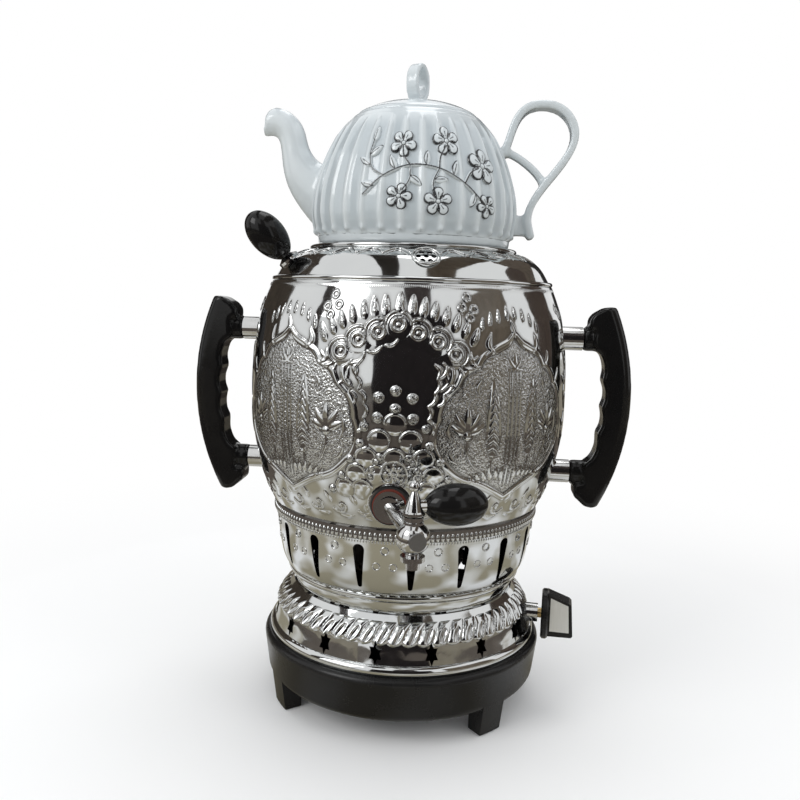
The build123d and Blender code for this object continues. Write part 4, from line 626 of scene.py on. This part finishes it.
# drops that fan out over the crown, with rings between them
for turn, height in (
    (0.2, 281.8), (4.4, 280.6), (8.0, 279.2), (11.6, 277.2), (15.3, 274.4), (18.7, 271.2), (21.9, 267.4),
    (25.0, 263.0),
):
    for side in (1, -1) if turn > 1 else (1,):
        x, lean = press.middle + side * turn * girth, side * turn * 0.9
        press.boss((x, height - foot), 4.6, 0.85, long=12.5, lean=lean, over=True)
        press.boss((x, height - foot - 0.6), 2.6, 0.35, long=8.0, lean=lean, grained=True)
press.both(press.ring, at((20.6, 279.6), (24.8, 278.4), (22.6, 285.6), (23.2, 273.6)), 4.4, 1.3, 0.7)
# a round seal of eight petals over the tap, with three beads on each side
seal = (press.middle, 181.0 - foot)
press.boss(seal, 15.0, 0.5, over=True)
press.ring(seal, 16.0, 1.7, 1.0)
for k, spot in enumerate(arc(*seal, 4.4, np.radians(range(0, 360, 45)))):
    press.boss(spot, 2.9, 0.9, long=5.2, lean=45 * k)
press.boss(seal, 3.2, 1.1)
press.both(press.boss, at((5.6, 188.2), (7.2, 183.6), (7.6, 178.6)), 4.2, 0.85, over=True, grained=True)

# waves that run round above the foot, and leaves over them
for k in [*range(-9, 0), *range(1, 10)]:
    x, side = (9.6 * k + crown) * girth, 1 if k > 0 else -1
    curl = []
    for a in np.linspace(0, 5.2, 14):
        out, aside, rise = 0.9 + 0.92 * a, cos(a + 0.6), sin(a + 0.6)
        curl.append((x + side * out * 1.05 * aside, 13.0 + out * 0.95 * rise, 0.9 + 0.28 * a))
    press.line(curl, 2.2, 0.5)
    press.boss((x, 13.0), 2.6, 0.6)
    trough = (-8.6, 7.2, 0.6), (-4.4, 6.0, 2.2), (0.6, 6.6, 1.6)
    press.line([(x + side * p, z, wide) for p, z, wide in trough], 2.0, 0.45)
    press.boss((x + side * 8.8, 18.6), 3.2, 0.5, long=8.5, lean=side * 28)
# stems and rings behind the handles
for side in (1, -1):
    x = side * 75.0 * girth
    press.ring([(x, 262 - foot), (x - side * 6, 280 - foot), (x, 276 - foot)], 5.0, 1.3, 0.6)
    for stem in (
        ((-3, 252, 0.6), (3.5, 240, 2.6), (-0.5, 226, 2.6), (4, 214, 0.8)),
        ((4, 212, 0.8), (-0.5, 200, 2.4), (3, 188, 0.6)),
    ):
        press.line([(x + side * p, z - foot, wide) for p, z, wide in stem], 2.4, 0.6)
    for z, lean in ((246, 50), (234, -50), (222, 50), (206, -50), (194, 50)):
        leaf_at = (x + copysign(4.2, lean) * side + side, z - foot)
        press.boss(leaf_at, 3.2, 0.6, long=9.0, lean=side * lean)
# a fine milled line under the lid's seat
pitch = 1.3
for k in range(int(184 * girth / pitch)):
    press.boss((-92 * girth + pitch * k, 147.6), 1.1, 0.22, long=2.0)

# round the tap's flange, the posts and the two seams the sheet is left plain, and near its foot and lip
X, Z = press.x[None, :], press.z[:, None]
plain = ramp((Z - 1.2) / 1.5) * ramp((149.2 - Z) / 1.2)
plain = ramp((91 * girth - np.abs(X)) / 4) * plain
posts = [(side * 90 * girth, z, 12.0) for z in (21.5, 115.7) for side in (-1, 1)]
for x, z, clear in [(0, tap_up, 14.5), *posts]:
    plain = np.minimum(plain, ramp((np.hypot(X - x, Z - z) - clear) / 2.5))
pressed, grained = (press.ground + press.high) * plain, press.grain * plain

# how deep each place lies under the mean of its surroundings: there the chrome is coloured darker, partly for
# the polish left behind and partly as painted shade in the hollows
reach = 4
window = 2 * reach + 1
mean = pressed
for axis in (0, 1) * 3:
    padded = np.pad(mean, [(reach, reach) if a == axis else (0, 0) for a in (0, 1)], mode="edge")
    total = np.insert(np.cumsum(padded, axis), 0, 0, axis)
    count = total.shape[axis]
    mean = (total.take(range(window, count), axis) - total.take(range(count - window), axis)) / window
residue_and_shade = ramp((mean - pressed) * 3.0)

barrel = through([
    (94.8, 0), (97.4, 5.5), (101.2, 15), (105.4, 29.5), (108.4, 44), (109.8, 58), (110, 75), (109.6, 92),
    (108.6, 106), (106.9, 117.5), (104.9, 129), (101.4, 139.5), (97.2, 150),
], 12)
quarter, rows = 380, 236
turns = np.radians(np.linspace(-180, 180, 4 * quarter + 1))
heights = np.linspace(0, tank_tall, rows + 1)


def sampled_from(sheet, field, along, up):
    """Values of one of a flat sheet's fields at some places, in mm."""
    i, k = (along - sheet.x[0]) / sheet.step, up / sheet.step
    i0, k0 = np.clip(i.astype(int), 0, field.shape[1] - 2), np.clip(k.astype(int), 0, field.shape[0] - 2)
    i, k = i - i0, k - k0
    below, above = (field[row, i0] * (1 - i) + field[row, i0 + 1] * i for row in (k0, k0 + 1))
    return below * (1 - k) + above * k


# the back repeats the front, but is plain where the front has the tap
around, above = np.meshgrid(np.degrees(turns), heights)
behind = np.abs(around) > 90
folded = np.where(behind, around - np.sign(around) * 180, around) * girth
relief, grit, groove_residue_and_shade = (sampled_from(press, field, folded, above) for field in (pressed, grained, residue_and_shade))
bare = behind & (np.hypot(folded, above - tap_up) < 17)
relief, grit = np.where(bare, 0, relief), np.where(bare, 0, grit)
dots = np.random.default_rng(5).normal(0, 0.03, relief.shape)
dots[:, -1] = dots[:, 0]
outer = turned(radius_of(barrel, above) + relief + dots * grit, np.radians(around), above + foot)

# the flat seat of the tap stands out of the barrel
seat_across, seat_y = 27.2, -102.8
off_axis = np.hypot(outer[..., 0], outer[..., 2] - (foot + tap_up))
seat = ramp((seat_across / 2 - off_axis) / 1.1)
seat = np.where(outer[..., 1] < 0, seat * seat * (3 - 2 * seat), 0)
outer[..., 1] += (seat_y - outer[..., 1]) * seat
wrapped = np.concatenate([outer[:, -2:-1], outer, outer[:, 1:2]], axis=1)
normals = np.cross(wrapped[:, 2:] - wrapped[:, :-2], np.gradient(outer, axis=0))
normals /= np.linalg.norm(normals, axis=2)[..., None]
normals[0] = normals[-1] = 0


def grid_mesh(name, points, capped=None):
    """A mesh over a grid of points in mm, closed on itself both ways or capped where rows or columns end."""
    index = np.arange(points[..., 0].size).reshape(points.shape[:2])
    caps = {"rows": [index[:, 0], index[::-1, -1]], "columns": [index[0, ::-1], index[-1]]}.get(capped, [])
    if capped != "columns":
        index = np.vstack([index, index[:1]])
    if capped != "rows":
        index = np.hstack([index, index[:, :1]])
    quads = np.dstack([index[:-1, :-1], index[:-1, 1:], index[1:, 1:], index[1:, :-1]]).reshape(-1, 4)
    return plain_mesh(name, points.reshape(-1, 3) / 1000, [face.tolist() for face in (*quads, *caps)])


def mark(mesh, layer, field):
    """Stores a field's values on the first points of a mesh, and 0 on the rest."""
    values = np.zeros(len(mesh.vertices))
    values[: field.size] = field.ravel()
    mesh.attributes.new(layer, "FLOAT", "POINT").data.foreach_set("value", values)


thick = 1.6
lining = [(94.0, 294.0), (94.0, 293.0)] + [(r - thick, z + foot) for r, z in barrel[::-1][12:-12:12]]
lining += [(93.9, 145.0), (88.6, 145.0), (88.6, 144.0)]
embossed = chrome_finish("embossed_chrome", grained=True)
for k, name in enumerate(("tank_back_left", "tank_front_left", "tank_front_right", "tank_back_right")):
    part = slice(k * quarter, (k + 1) * quarter + 1)
    inner = np.array([[(r * sin(t), -r * cos(t), z) for t in turns[part]] for r, z in lining])
    sheet = np.vstack([outer[:, part], inner])
    mesh = grid_mesh(name, sheet, "rows")
    mesh.set_sharp_from_angle(angle=radians(50))
    mark(mesh, "grained", grit[:, part])
    # the darker hollows: partly polish residue, partly painted shade
    mark(mesh, "residue_and_shade", groove_residue_and_shade[:, part])
    own = np.zeros(sheet.shape)
    own[: rows + 1] = normals[:, part]
    mesh.normals_split_custom_set_from_vertices(own.reshape(-1, 3).tolist())
    shell = placed(name, mesh, embossed)
    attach(shell, "samovar")
    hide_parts("tank_shell")


# Rings of like details.
# Beads, rings and arcs are struck in the sheet one beside the next, by a punch that is turned round the axis.
# They sit on the sheet with their backs sunk in it.

def settle(piece, modifier):
    """Gives a piece the mesh that its modifier makes, and takes the modifier off."""
    made = bpy.data.meshes.new_from_object(piece.evaluated_get(bpy.context.evaluated_depsgraph_get()))
    piece.modifiers.remove(modifier)
    piece.data = made


def turned_copies(name, unit, copies, turn, finish, body, left_out=-1):
    """Copies of a unit turned round the upright axis; turn is the first one's heading in degrees."""
    tree = bpy.data.node_groups.new("turned_copies", "GeometryNodeTree")
    face = tree.interface
    kinds = {"Unit": "Object", "Copies": "Int", "Turn": "Float", "Left out": "Int", "Finish": "Material"}
    for socket, kind in kinds.items():
        face.new_socket(socket, in_out="INPUT", socket_type="NodeSocket" + kind)
    face.new_socket("Geometry", in_out="OUTPUT", socket_type="NodeSocketGeometry")

    def add(kind, settings={}, sockets={}):
        return add_node(tree, kind, settings, sockets).outputs

    given = add("NodeGroupInput")
    spots = add("GeometryNodeMeshLine", {}, {"Count": given["Copies"], "Offset": (0, 0, 0)})["Mesh"]
    number = add("GeometryNodeInputIndex")[0]
    share = add("ShaderNodeMath", {"operation": "DIVIDE"}, {0: number, 1: given["Copies"]})[0]
    angle = {0: share, 1: 2 * pi, 2: given["Turn"]}
    angle = add("ShaderNodeMath", {"operation": "MULTIPLY_ADD"}, angle)[0]
    others = {"data_type": "INT", "operation": "NOT_EQUAL"}, {"A": number, "B": given["Left out"]}
    copied = add("GeometryNodeInstanceOnPoints", {}, {
        "Points": spots,
        "Selection": add("FunctionNodeCompare", *others)[0],
        "Instance": add("GeometryNodeObjectInfo", {}, {"Object": given["Unit"]})["Geometry"],
        "Rotation": add("ShaderNodeCombineXYZ", {}, {"Z": angle})[0],
    })[0]
    real = add("GeometryNodeRealizeInstances", {}, {"Geometry": copied})[0]
    painted = add("GeometryNodeSetMaterial", {}, {"Geometry": real, "Material": given["Finish"]})[0]
    add("NodeGroupOutput", {}, {0: painted})

    punch = placed(name + "_unit", unit)
    carrier = placed(name, bpy.data.meshes.new(name))
    modifier = carrier.modifiers.new("copies", "NODES")
    modifier.node_group = tree
    values = dict(zip(kinds, (punch, copies, radians(turn), left_out, finish.material)))
    for item in face.items_tree:
        if item.item_type == "SOCKET" and item.in_out == "INPUT":
            modifier[item.identifier] = values[item.name]
    settle(carrier, modifier)
    carrier.data.name = name
    bpy.data.objects.remove(punch)
    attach(carrier, body)


def faced_out(mesh):
    """Turns the faces of a closed mesh outwards."""
    bm = bmesh.new()
    bm.from_mesh(mesh)
    bmesh.ops.recalc_face_normals(bm, faces=bm.faces)
    bm.to_mesh(mesh)
    bm.free()
    return mesh


def tube_mesh(name, path, thick, closed=False):
    """An eight-sided bar along some points in mm; thick is its diameter, one value or one for each point."""
    path = np.asarray(path, float)
    thick = np.broadcast_to(np.asarray(thick, float), (len(path),))
    ahead = np.roll(path, -1, 0) - np.roll(path, 1, 0) if closed else np.gradient(path, axis=0)
    ahead /= np.linalg.norm(ahead, axis=1)[:, None]
    aside = np.cross(ahead, path - path.mean(0) + (0, 0, 1e-3))
    aside /= np.linalg.norm(aside, axis=1)[:, None]
    over = np.cross(ahead, aside)
    angle = np.linspace(0, 2 * pi, 8, endpoint=False)[None, :, None]
    spokes = aside[:, None] * np.cos(angle) + over[:, None] * np.sin(angle)
    rings = path[:, None] + spokes * thick[:, None, None] / 2
    return faced_out(grid_mesh(name, rings, None if closed else "columns"))


def out_at(turn, radius, height):
    """A point in mm at a heading, which runs from the front towards the right grip."""
    return np.array([radius * sin(radians(turn)), -radius * cos(radians(turn)), height])


def bead_mesh(name, at, size):
    """A small rounded bead, at a point in mm in front of the axis, size being its depth, width and height."""
    bm = bmesh.new()
    bmesh.ops.create_uvsphere(bm, u_segments=8, v_segments=6, radius=0.5)
    for v in bm.verts:
        v.co = (Vector((v.co.x * size[1], v.co.y * size[0], v.co.z * size[2])) + Vector(at)) / 1000
    mesh = bpy.data.meshes.new(name)
    bm.to_mesh(mesh)
    bm.free()
    mesh.polygons.foreach_set("use_smooth", [True] * len(mesh.polygons))
    return mesh


for name, copies, at_point, size in (
    ("skirt_beads", 180, out_at(0, 93.2, 137.6), (2.1, 2.5, 5.6)),
    ("skirt_teeth", 300, out_at(0, 92.45, 133.6), (0.9, 1.1, 1.9)),
    ("skirt_foot_beads", 240, out_at(0, 83.0, 94.6), (0.9, 1.4, 1.2)),
):
    turned_copies(name, bead_mesh(name, at_point, size), copies, 0, chrome, "samovar")

outlets, flare = 17, 0.055
for name, turn, radius, height, across in (
    ("skirt_rings_high", -2.4, 91.75, 128.2, 4.9),
    ("skirt_rings_left", -5.8, 90.15, 117.6, 4.6),
    ("skirt_rings_right", 1.0, 90.15, 117.6, 4.6),
):
    circle = []
    for a in np.linspace(0, 2 * pi, 20, endpoint=False):
        spot = out_at(0, radius + flare * across * sin(a) / 2, height)
        circle.append(spot + (across / 2 * cos(a), 0, across / 2 * sin(a)))
    unit = tube_mesh(name, circle, 1.0, closed=True)
    turned_copies(name, unit, outlets, turn, chrome, "samovar")

lid_side = through([
    (97.0, 297.1), (94.6, 297.3), (92.9, 300.3), (90.6, 304.1), (87.6, 307.7), (83.6, 310.8), (78.6, 313.3),
    (71.5, 315.5),
], 8)


def on_lid(turn, height, proud=0.0):
    """A point at a height of the lid's side, raised by proud."""
    return out_at(turn, radius_of(lid_side, height), height + proud)


# thirty places round the lid; the vent's rosette takes the first
places, first_place = 30, 10.4
arch = [on_lid(5.9 * a, 311.3 + 2.9 * (1 - a * a), 0.1) for a in np.linspace(-1, 1, 15)]
inner_arch = [on_lid(degrees(atan2(p[0], -p[1])) * 0.8, p[2] - 1.5, 0.05) for p in arch]
for name, thick, path in (("lid_arcs", 1.5, arch), ("lid_inner_arcs", 0.8, inner_arch)):
    widths = thick * (0.5 + 0.5 * np.sin(np.linspace(0.1, pi - 0.1, 15)))
    unit = tube_mesh(name, path, widths)
    turned_copies(name, unit, places, first_place, chrome, "lid", left_out=0)
unit = bead_mesh("lid_arc_beads", on_lid(6.0, 311.0), (1.2, 2.2, 1.6))
turned_copies("lid_arc_beads", unit, places, first_place, chrome, "lid")
for name, across, thick in (("vent_ring", 17.0, 1.3), ("vent_inner_ring", 13.6, 0.8)):
    slope, circle = radians(36), []
    for a in np.linspace(0, 2 * pi, 32, endpoint=False):
        aside, back = across / 2 * cos(a), across / 2 * sin(a)
        circle.append(out_at(0, 85.2, 309.8) + (aside, back * cos(slope), back * sin(slope)))
    unit = tube_mesh(name, circle, thick, closed=True)
    turned_copies(name, unit, 1, first_place, chrome, "lid")


# The collar's gadroons.
# Leaning lobes are rolled into the collar's shoulder above the stars; each is a rim round a hollow.

lobes, per_lobe, tiers = 58, 24, 46
lobe_tall, hollow_deep, back_deep = 1.9, 1.5, 0.85
shoulder = through([(91.4, 60.0), (91.0, 63.5), (89.2, 69.5), (84.4, 76.4), (79.4, 82.3)], 10)
length = np.insert(np.cumsum(np.hypot(*np.diff(shoulder, axis=0).T)), 0, 0)
share = np.linspace(0, 1, tiers + 1)
begin, end = np.interp(64.8, shoulder[:, 1], length), np.interp(79.6, shoulder[:, 1], length)
along = begin + (end - begin) * share
base = np.column_stack([np.interp(along, length, shoulder[:, k]) for k in (0, 1)])
tangent = np.gradient(base, axis=0)
tangent /= np.linalg.norm(tangent, axis=1)[:, None]
normal = np.column_stack([tangent[:, 1], -tangent[:, 0]])
turn, up = np.meshgrid(np.linspace(0, 360, lobes * per_lobe, endpoint=False), share)
u = ((turn - 5.2 * (up - 0.3)) * lobes / 360 % 1) * 2 - 1
rim = ramp((up - 0.06 - 0.10 * u * u) / 0.13)
swell = (1 - u * u) ** 0.5 * np.sqrt(1 - (1 - rim) ** 2) * ramp((0.98 - up) / 0.36) ** 0.7
hollow = np.hypot((u - 0.14) / 0.42, (up - 0.42) / 0.27)
raised = lobe_tall * swell - hollow_deep * ramp(1 - hollow**2) ** 0.7 - 0.3
surface = base[:, None] + normal[:, None] * raised[..., None]
under = base[[-1, tiers // 2, 0]] - normal[[-1, tiers // 2, 0]] * back_deep
rings = np.vstack([surface, np.broadcast_to(under[:, None], (3, lobes * per_lobe, 2))])
shell = turned(rings[..., 0], np.radians(turn[0]), rings[..., 1])
gadroons = placed("collar_gadroons", grid_mesh("collar_gadroons", shell), chrome)

# the upper points of the collar's stars cut into the lobes; two of the sixteen places have no star
tips, sides = [], []
for k in set(range(16)) - {4, 8}:
    middle_turn = -5.0 + 22.5 * k
    a = len(tips)
    for reach in (80.0, 100.0):
        for off, height in ((-3.9, 59.0), (3.9, 59.0), (0.0, 70.2)):
            tips.append(out_at(middle_turn, reach, height) + out_at(middle_turn + 90, off, 0))
    sides += [(a, a + 2, a + 1), (a + 3, a + 4, a + 5), (a, a + 1, a + 4, a + 3)]
    sides += [(a + 1, a + 2, a + 5, a + 4), (a + 2, a, a + 3, a + 5)]
wedges = plain_mesh("star_tips", np.array(tips) / 1000, sides, smooth=False)
cutter = placed("star_tips", faced_out(wedges))
cut = gadroons.modifiers.new("cut", "BOOLEAN")
cut.object, cut.operation, cut.solver = cutter, "DIFFERENCE", "MANIFOLD"
settle(gadroons, cut)
bpy.data.objects.remove(cutter)
gadroons.data.set_sharp_from_angle(angle=radians(60))
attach(gadroons, "samovar")


# The tap.
# A cast brass body, turned, drilled and chromed, with a washer of rubber and one of fibre under its flange.

fitting = Finish("chromed_fitting", Metallic=1.0)
wipe, tooling = fitting.grain(0.009, detail=3.0), fitting.grain(0.0011)
fitting.show(wipe, (0.56, 0.565, 0.565), (0.66, 0.66, 0.655), 0.05 + wipe * 0.1, tooling, 0.00002)
coat(
    fitting, "tap_body", "tap_key", "left_lower_ferrule", "left_upper_ferrule",
    "right_lower_ferrule", "right_upper_ferrule", "lid_knob_seat", "valve_sleeve",
)

worn = Finish("worn_plating", Metallic=1.0)
scratch = worn.grain(0.0005, (1, 1, 9), detail=3.0)
worn.show(scratch, (0.10, 0.10, 0.105), (0.42, 0.41, 0.40), 0.32 + scratch * 0.25, scratch, 0.00006)
coat(worn, "tap_face_plug")

rubber = Finish("seal_rubber", Specular_IOR_Level=0.3)
bloom = rubber.grain(0.003)
rubber.show(bloom, (0.02, 0.02, 0.02), (0.045, 0.043, 0.04), 0.7 + bloom * 0.2)
coat(rubber, "tap_rubber_washer")

fibre = Finish("seal_fibre", Specular_IOR_Level=0.2)
strand = fibre.grain(0.0012, (1, 1, 3))
fibre.show(strand, (0.11, 0.022, 0.016), (0.20, 0.05, 0.035), 0.75 + strand * 0.2)
coat(fibre, "tap_fibre_washer")


# Grips and knobs.
# Black phenolic mouldings polished to a high gloss. The CAD's grips are shown as casts with rounded edges,
# as the teapot and its lid are further down.

gloss = Finish("black_handle", Specular_IOR_Level=0.26, IOR=1.5)
polish, ripple = gloss.grain(0.02, detail=3.0), gloss.grain(0.004)
rough = 0.06 + polish * 0.12
gloss.show(polish, (0.004, 0.004, 0.0045), (0.011, 0.0105, 0.010), rough, ripple, 0.00003)
coat(gloss, "lid_knob", "tap_handle")


def cast_of(name, body, finish, voxel, rounding, proud_of=lambda p: p[:, 2] > 0, slim_of=None):
    """A cast of a CAD node with its edges rounded and its roots run in, most of all where proud_of says so.

    The voxels are in metres, and rounding is how many passes wear the edges down. Where slim_of says so,
    the cast has twice as many faces along each way.
    """
    merged = bmesh.new()
    merged.from_mesh(node[name].data)
    bmesh.ops.remove_doubles(merged, verts=merged.verts, dist=1e-6)
    mesh = bpy.data.meshes.new(name + "_cast")
    merged.to_mesh(mesh)
    merged.free()
    piece = placed(name + "_cast", mesh, finish)
    box = np.array(piece.bound_box)
    shrink = piece.modifiers.new("shrink", "REMESH")
    shrink.mode, shrink.voxel_size, shrink.use_smooth_shade = "VOXEL", voxel, True
    settle(piece, shrink)
    cast = piece.data
    if slim_of:
        finer = bmesh.new()
        finer.from_mesh(cast)
        slim = slim_of(np.array([v.co for v in finer.verts]) * 1000)
        edges = [e for e in finer.edges if slim[e.verts[0].index] and slim[e.verts[1].index]]
        bmesh.ops.subdivide_edges(finer, edges=edges, cuts=1, use_grid_fill=True)
        finer.to_mesh(cast)
        finer.free()
    count = len(cast.vertices)
    points, edges = np.empty(count * 3), np.empty(len(cast.edges) * 2, int)
    cast.vertices.foreach_get("co", points)
    cast.edges.foreach_get("vertices", edges)
    points, (a, b) = points.reshape(-1, 3), edges.reshape(-1, 2).T
    valence = np.bincount(a, minlength=count) + np.bincount(b, minlength=count)
    proud = proud_of(points * 1000)[:, None]
    wear, ripples = np.where(proud, 0.55, 0.3), 80
    for turn in range(rounding + ripples):
        # the first passes wear the edges down; the later ones pull in and push out by turns against ripples
        give = wear if turn < rounding else (0.62, -0.64)[turn % 2]
        around = [np.bincount(a, points[b, k], count) + np.bincount(b, points[a, k], count) for k in range(3)]
        points += (np.array(around).T / valence[:, None] - points) * give
    cast.vertices.foreach_set("co", np.clip(points, box.min(axis=0), box.max(axis=0)).ravel())
    cast.update()
    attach(piece, body)
    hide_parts(name)


for name in ("left_grip", "right_grip"):
    cast_of(name, "samovar", gloss, 0.0012, 7)


# The teapot.
# White porcelain under a clear glaze, cast in one piece with its spout and handle; the lid lies in its mouth.
# Its side is fluted, and a spray of blossom stands out of the flutes, outlined with a black brush.

def glaze_finish(name, inked=False):
    glaze = Finish(name, Coat_Weight=0.5, Coat_Roughness=0.03, IOR=1.5)
    pooled = glaze.grain(0.03)
    colour = glaze.blend(pooled, (0.60, 0.655, 0.68), (0.67, 0.715, 0.735))
    # the flutes' valleys, marked hollow, are coloured darker: partly glaze pooled there, partly painted shade
    colour = glaze.blend(glaze.layer("hollow"), colour, (0.49, 0.545, 0.575))
    if inked:
        brush = glaze.layer("ink") * (0.75 + glaze.grain(0.0012) * 0.5)
        colour = glaze.blend(brush, colour, (0.012, 0.013, 0.016))
    glaze.feed("Base Color", colour)
    glaze.feed("Roughness", 0.10 + pooled * 0.12)
    glaze.relief(glaze.grain(0.009), 0.0001)
    return glaze


glaze = glaze_finish("porcelain")
pot_side = through([
    (66.6, 319.8), (67.0, 326.8), (68.9, 333.3), (69.7, 341.3), (68.7, 352.2), (66.3, 362.2), (62.1, 374.7),
    (56.5, 386.7), (49.4, 398.6), (42.4, 406.1),
], 10)
cast_of(
    "teapot", "teapot", glaze, 0.00135, 4,
    proud_of=lambda p: np.hypot(p[:, 0], p[:, 1]) > radius_of(pot_side, p[:, 2]) + 0.6,
    slim_of=lambda p: p[:, 0] > radius_of(pot_side, p[:, 2]) + 1.5,
)
cast_of("teapot_lid", "teapot_lid", glaze, 0.0008, 4, lambda p: p[:, 2] > 417.0)


def skin_over(name, turns, heights, proud, finish, closed=False):
    """A thin closed skin on the pot's side: its face stands proud of it, and its back lies under it."""
    steps = np.gradient(pot_side, axis=0)
    normal = np.column_stack([steps[:, 1], -steps[:, 0]]) / np.hypot(steps[:, 0], steps[:, 1])[:, None]
    base, out, rise = (np.interp(heights, pot_side[:, 1], column) for column in (pot_side[:, 0], *normal.T))
    columns, back = len(turns), slice(None, None, -max(1, len(heights) // 8))
    radius = base[:, None] + out[:, None] * proud
    height = heights[:, None] + rise[:, None] * proud
    radius = np.vstack([radius, np.repeat((base - out * skin_deep)[back, None], columns, 1)])
    height = np.vstack([height, np.repeat((heights - rise * skin_deep)[back, None], columns, 1)])
    points = turned(radius, np.radians(turns), height)
    return placed(name, grid_mesh(name, points, None if closed else "rows"), finish)


flute_count, first_ridge, skin_deep = 34, 8.7, 0.9
turns = np.linspace(0, 360, flute_count * 20, endpoint=False)
heights = np.linspace(322.5, 403.0, 104)
over, up = np.meshgrid(turns, heights)
flute_wide = radius_of(pot_side, up) * 2 * pi / flute_count
from_ridge = np.abs(((over - first_ridge) * flute_count / 360 + 0.5) % 1 - 0.5)
ridge = np.exp(-((from_ridge / 0.15) ** 2)) + 0.35 * ramp(1 - from_ridge / 0.5) ** 2
tip = 1.1 * np.exp(-((from_ridge * flute_wide / 2.0) ** 2) - ((up - 327.9) / 1.9) ** 2)
fade = ramp((up - 324.6) / 2.6) * ramp((402.0 - up) / 12.0)
fade = fade * fade * (3 - 2 * fade)
proud = (ridge + tip) * fade + 0.16 - 0.5 * ramp((325.5 - up) / 2.0) - 0.5 * ramp((up - 401.5) / 1.5)
flutes = skin_over("teapot_flutes", turns, heights, proud, glaze, closed=True)
# darker colour in the valleys between the ridges: partly pooled glaze, partly painted shade
mark(flutes.data, "hollow", ramp(1 - ridge * 1.15) * fade)
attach(flutes, "teapot")

# the spray, laid out flat: x runs along the side from the spray's middle, z up it
spray = Embossing(58.0, 62.0)
spray_turn, pot_girth = 9.0, 1.16     # its heading in degrees, and mm round the pot for a degree
branch = through([(-36, 13), (-24, 24), (-8, 30.5), (10, 29), (26, 21), (40, 9)], 8)


def twig(points, thick=1.3):
    spray.line(points, thick + 0.5, 0.55)
    spray.line(points, thick * 0.9, 0, grained=True)


def leaf(foot, tip):
    foot, tip, wide = np.array(foot, float), np.array(tip, float), 4.2
    run = tip - foot
    lean = degrees(atan2(run[0], run[1]))
    spray.boss(foot + run * 0.5, wide, 0.75, long=np.hypot(*run), lean=lean)
    side, share = np.array([-run[1], run[0]]) / np.hypot(*run), np.linspace(0, 1, 9)
    edge = [foot + run * t + side * wide * 0.46 * sin(pi * t) ** 0.8 for t in share]
    spray.line(np.column_stack([edge, 0.7 + 0.9 * share]), 1, 0, grained=True)
    spray.line([foot, foot + run * 0.7], 0.75, 0, grained=True)


def blossom(x, z, size, spin):
    """Five petals with an inked edge and three inked veins each, round a boss with an inked ring."""
    middle = np.array([x, z])
    for k in range(5):
        turn = spin + 72 * k
        out = np.array([sin(radians(turn)), cos(radians(turn))])
        aside, wide, long = np.array([out[1], -out[0]]), size * 0.72, size * 0.92
        centre = middle + out * size * 0.56
        spray.boss(centre, wide, 1.15, long=long, lean=180 + spin + 72 * k)
        edge = []
        for b in np.radians(np.linspace(-150, 150, 17)):
            swell = wide * 0.47 * sin(b) * (1 + 0.18 * cos(b))
            rim = centre + out * long * 0.47 * cos(b) + aside * swell
            edge.append((*rim, 0.75 + 0.95 * cos(b * 0.5 + 0.5) ** 2))
        spray.line(edge, 1, 0, grained=True)
        for b in (-0.22, 0.0, 0.22):
            start = middle + (out * 0.30 + aside * b * 0.5) * size
            end = start + (out * 0.30 + aside * b * 0.9) * size
            spray.line([(*start, 0.5), (*end, 0.8)], 1, 0, grained=True)
    spray.boss((x, z), size * 0.34, 1.3)
    spray.line(arc(x, z, size * 0.17, np.radians(np.linspace(0, 360, 11))), 0.7, 0, grained=True)


twig(branch[:, :2])
for thick, *way in (
    (1.3, (-8, 30.5), (-12, 36), (-13, 42)), (1.3, (10, 29), (11, 36), (15, 43)),
    (1.3, (26, 21), (31, 28), (37, 31)), (1.0, (-24, 24), (-32, 29), (-35, 38)),
    (1.0, (-8, 30.5), (-8, 22), (-12, 15)), (1.0, (10, 29), (6, 20), (8, 11)), (0.9, (-35, 38), (-34, 47)),
):
    twig(way, thick)
for foot_at, tip_at in (
    ((-34, 46), (-33, 56)), ((-33.5, 31), (-42, 36)), ((-34.5, 37), (-27, 43)), ((-8, 24), (-0.5, 18)),
    ((7, 22), (15.5, 22.5)), ((19, 25.5), (22, 35)), ((-17, 28), (-21, 37)), ((33, 15), (30, 7)),
    ((2, 31), (3, 40)), ((-30, 18), (-38, 20)),
):
    leaf(foot_at, tip_at)
for bloom_at in (
    (41, 33, 11.0, 10), (-13, 44, 8.8, 30), (16, 46.5, 9.4, -8), (-14, 11.5, 8.0, 18), (9, 9, 8.6, 0),
    (41.5, 8.5, 7.4, 40),
):
    blossom(*bloom_at)

turns = np.linspace(-38, 56, 361)
heights = np.linspace(334.5, 395.5, 205)
over, up = np.meshgrid(turns, heights)
along = (over - spray_turn) * pot_girth
high, ink = (sampled_from(spray, field, along, up - heights[0]) for field in (spray.high, spray.grain))
proud = np.where(high > 0.03, 1.35 + high * 0.9, -0.5)
inked = glaze_finish("inked_porcelain", inked=True)
blossoms = skin_over("teapot_blossom", turns, heights, proud, inked)
mark(blossoms.data, "ink", ink)
blossoms.data.set_sharp_from_angle(angle=radians(70))
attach(blossoms, "teapot")
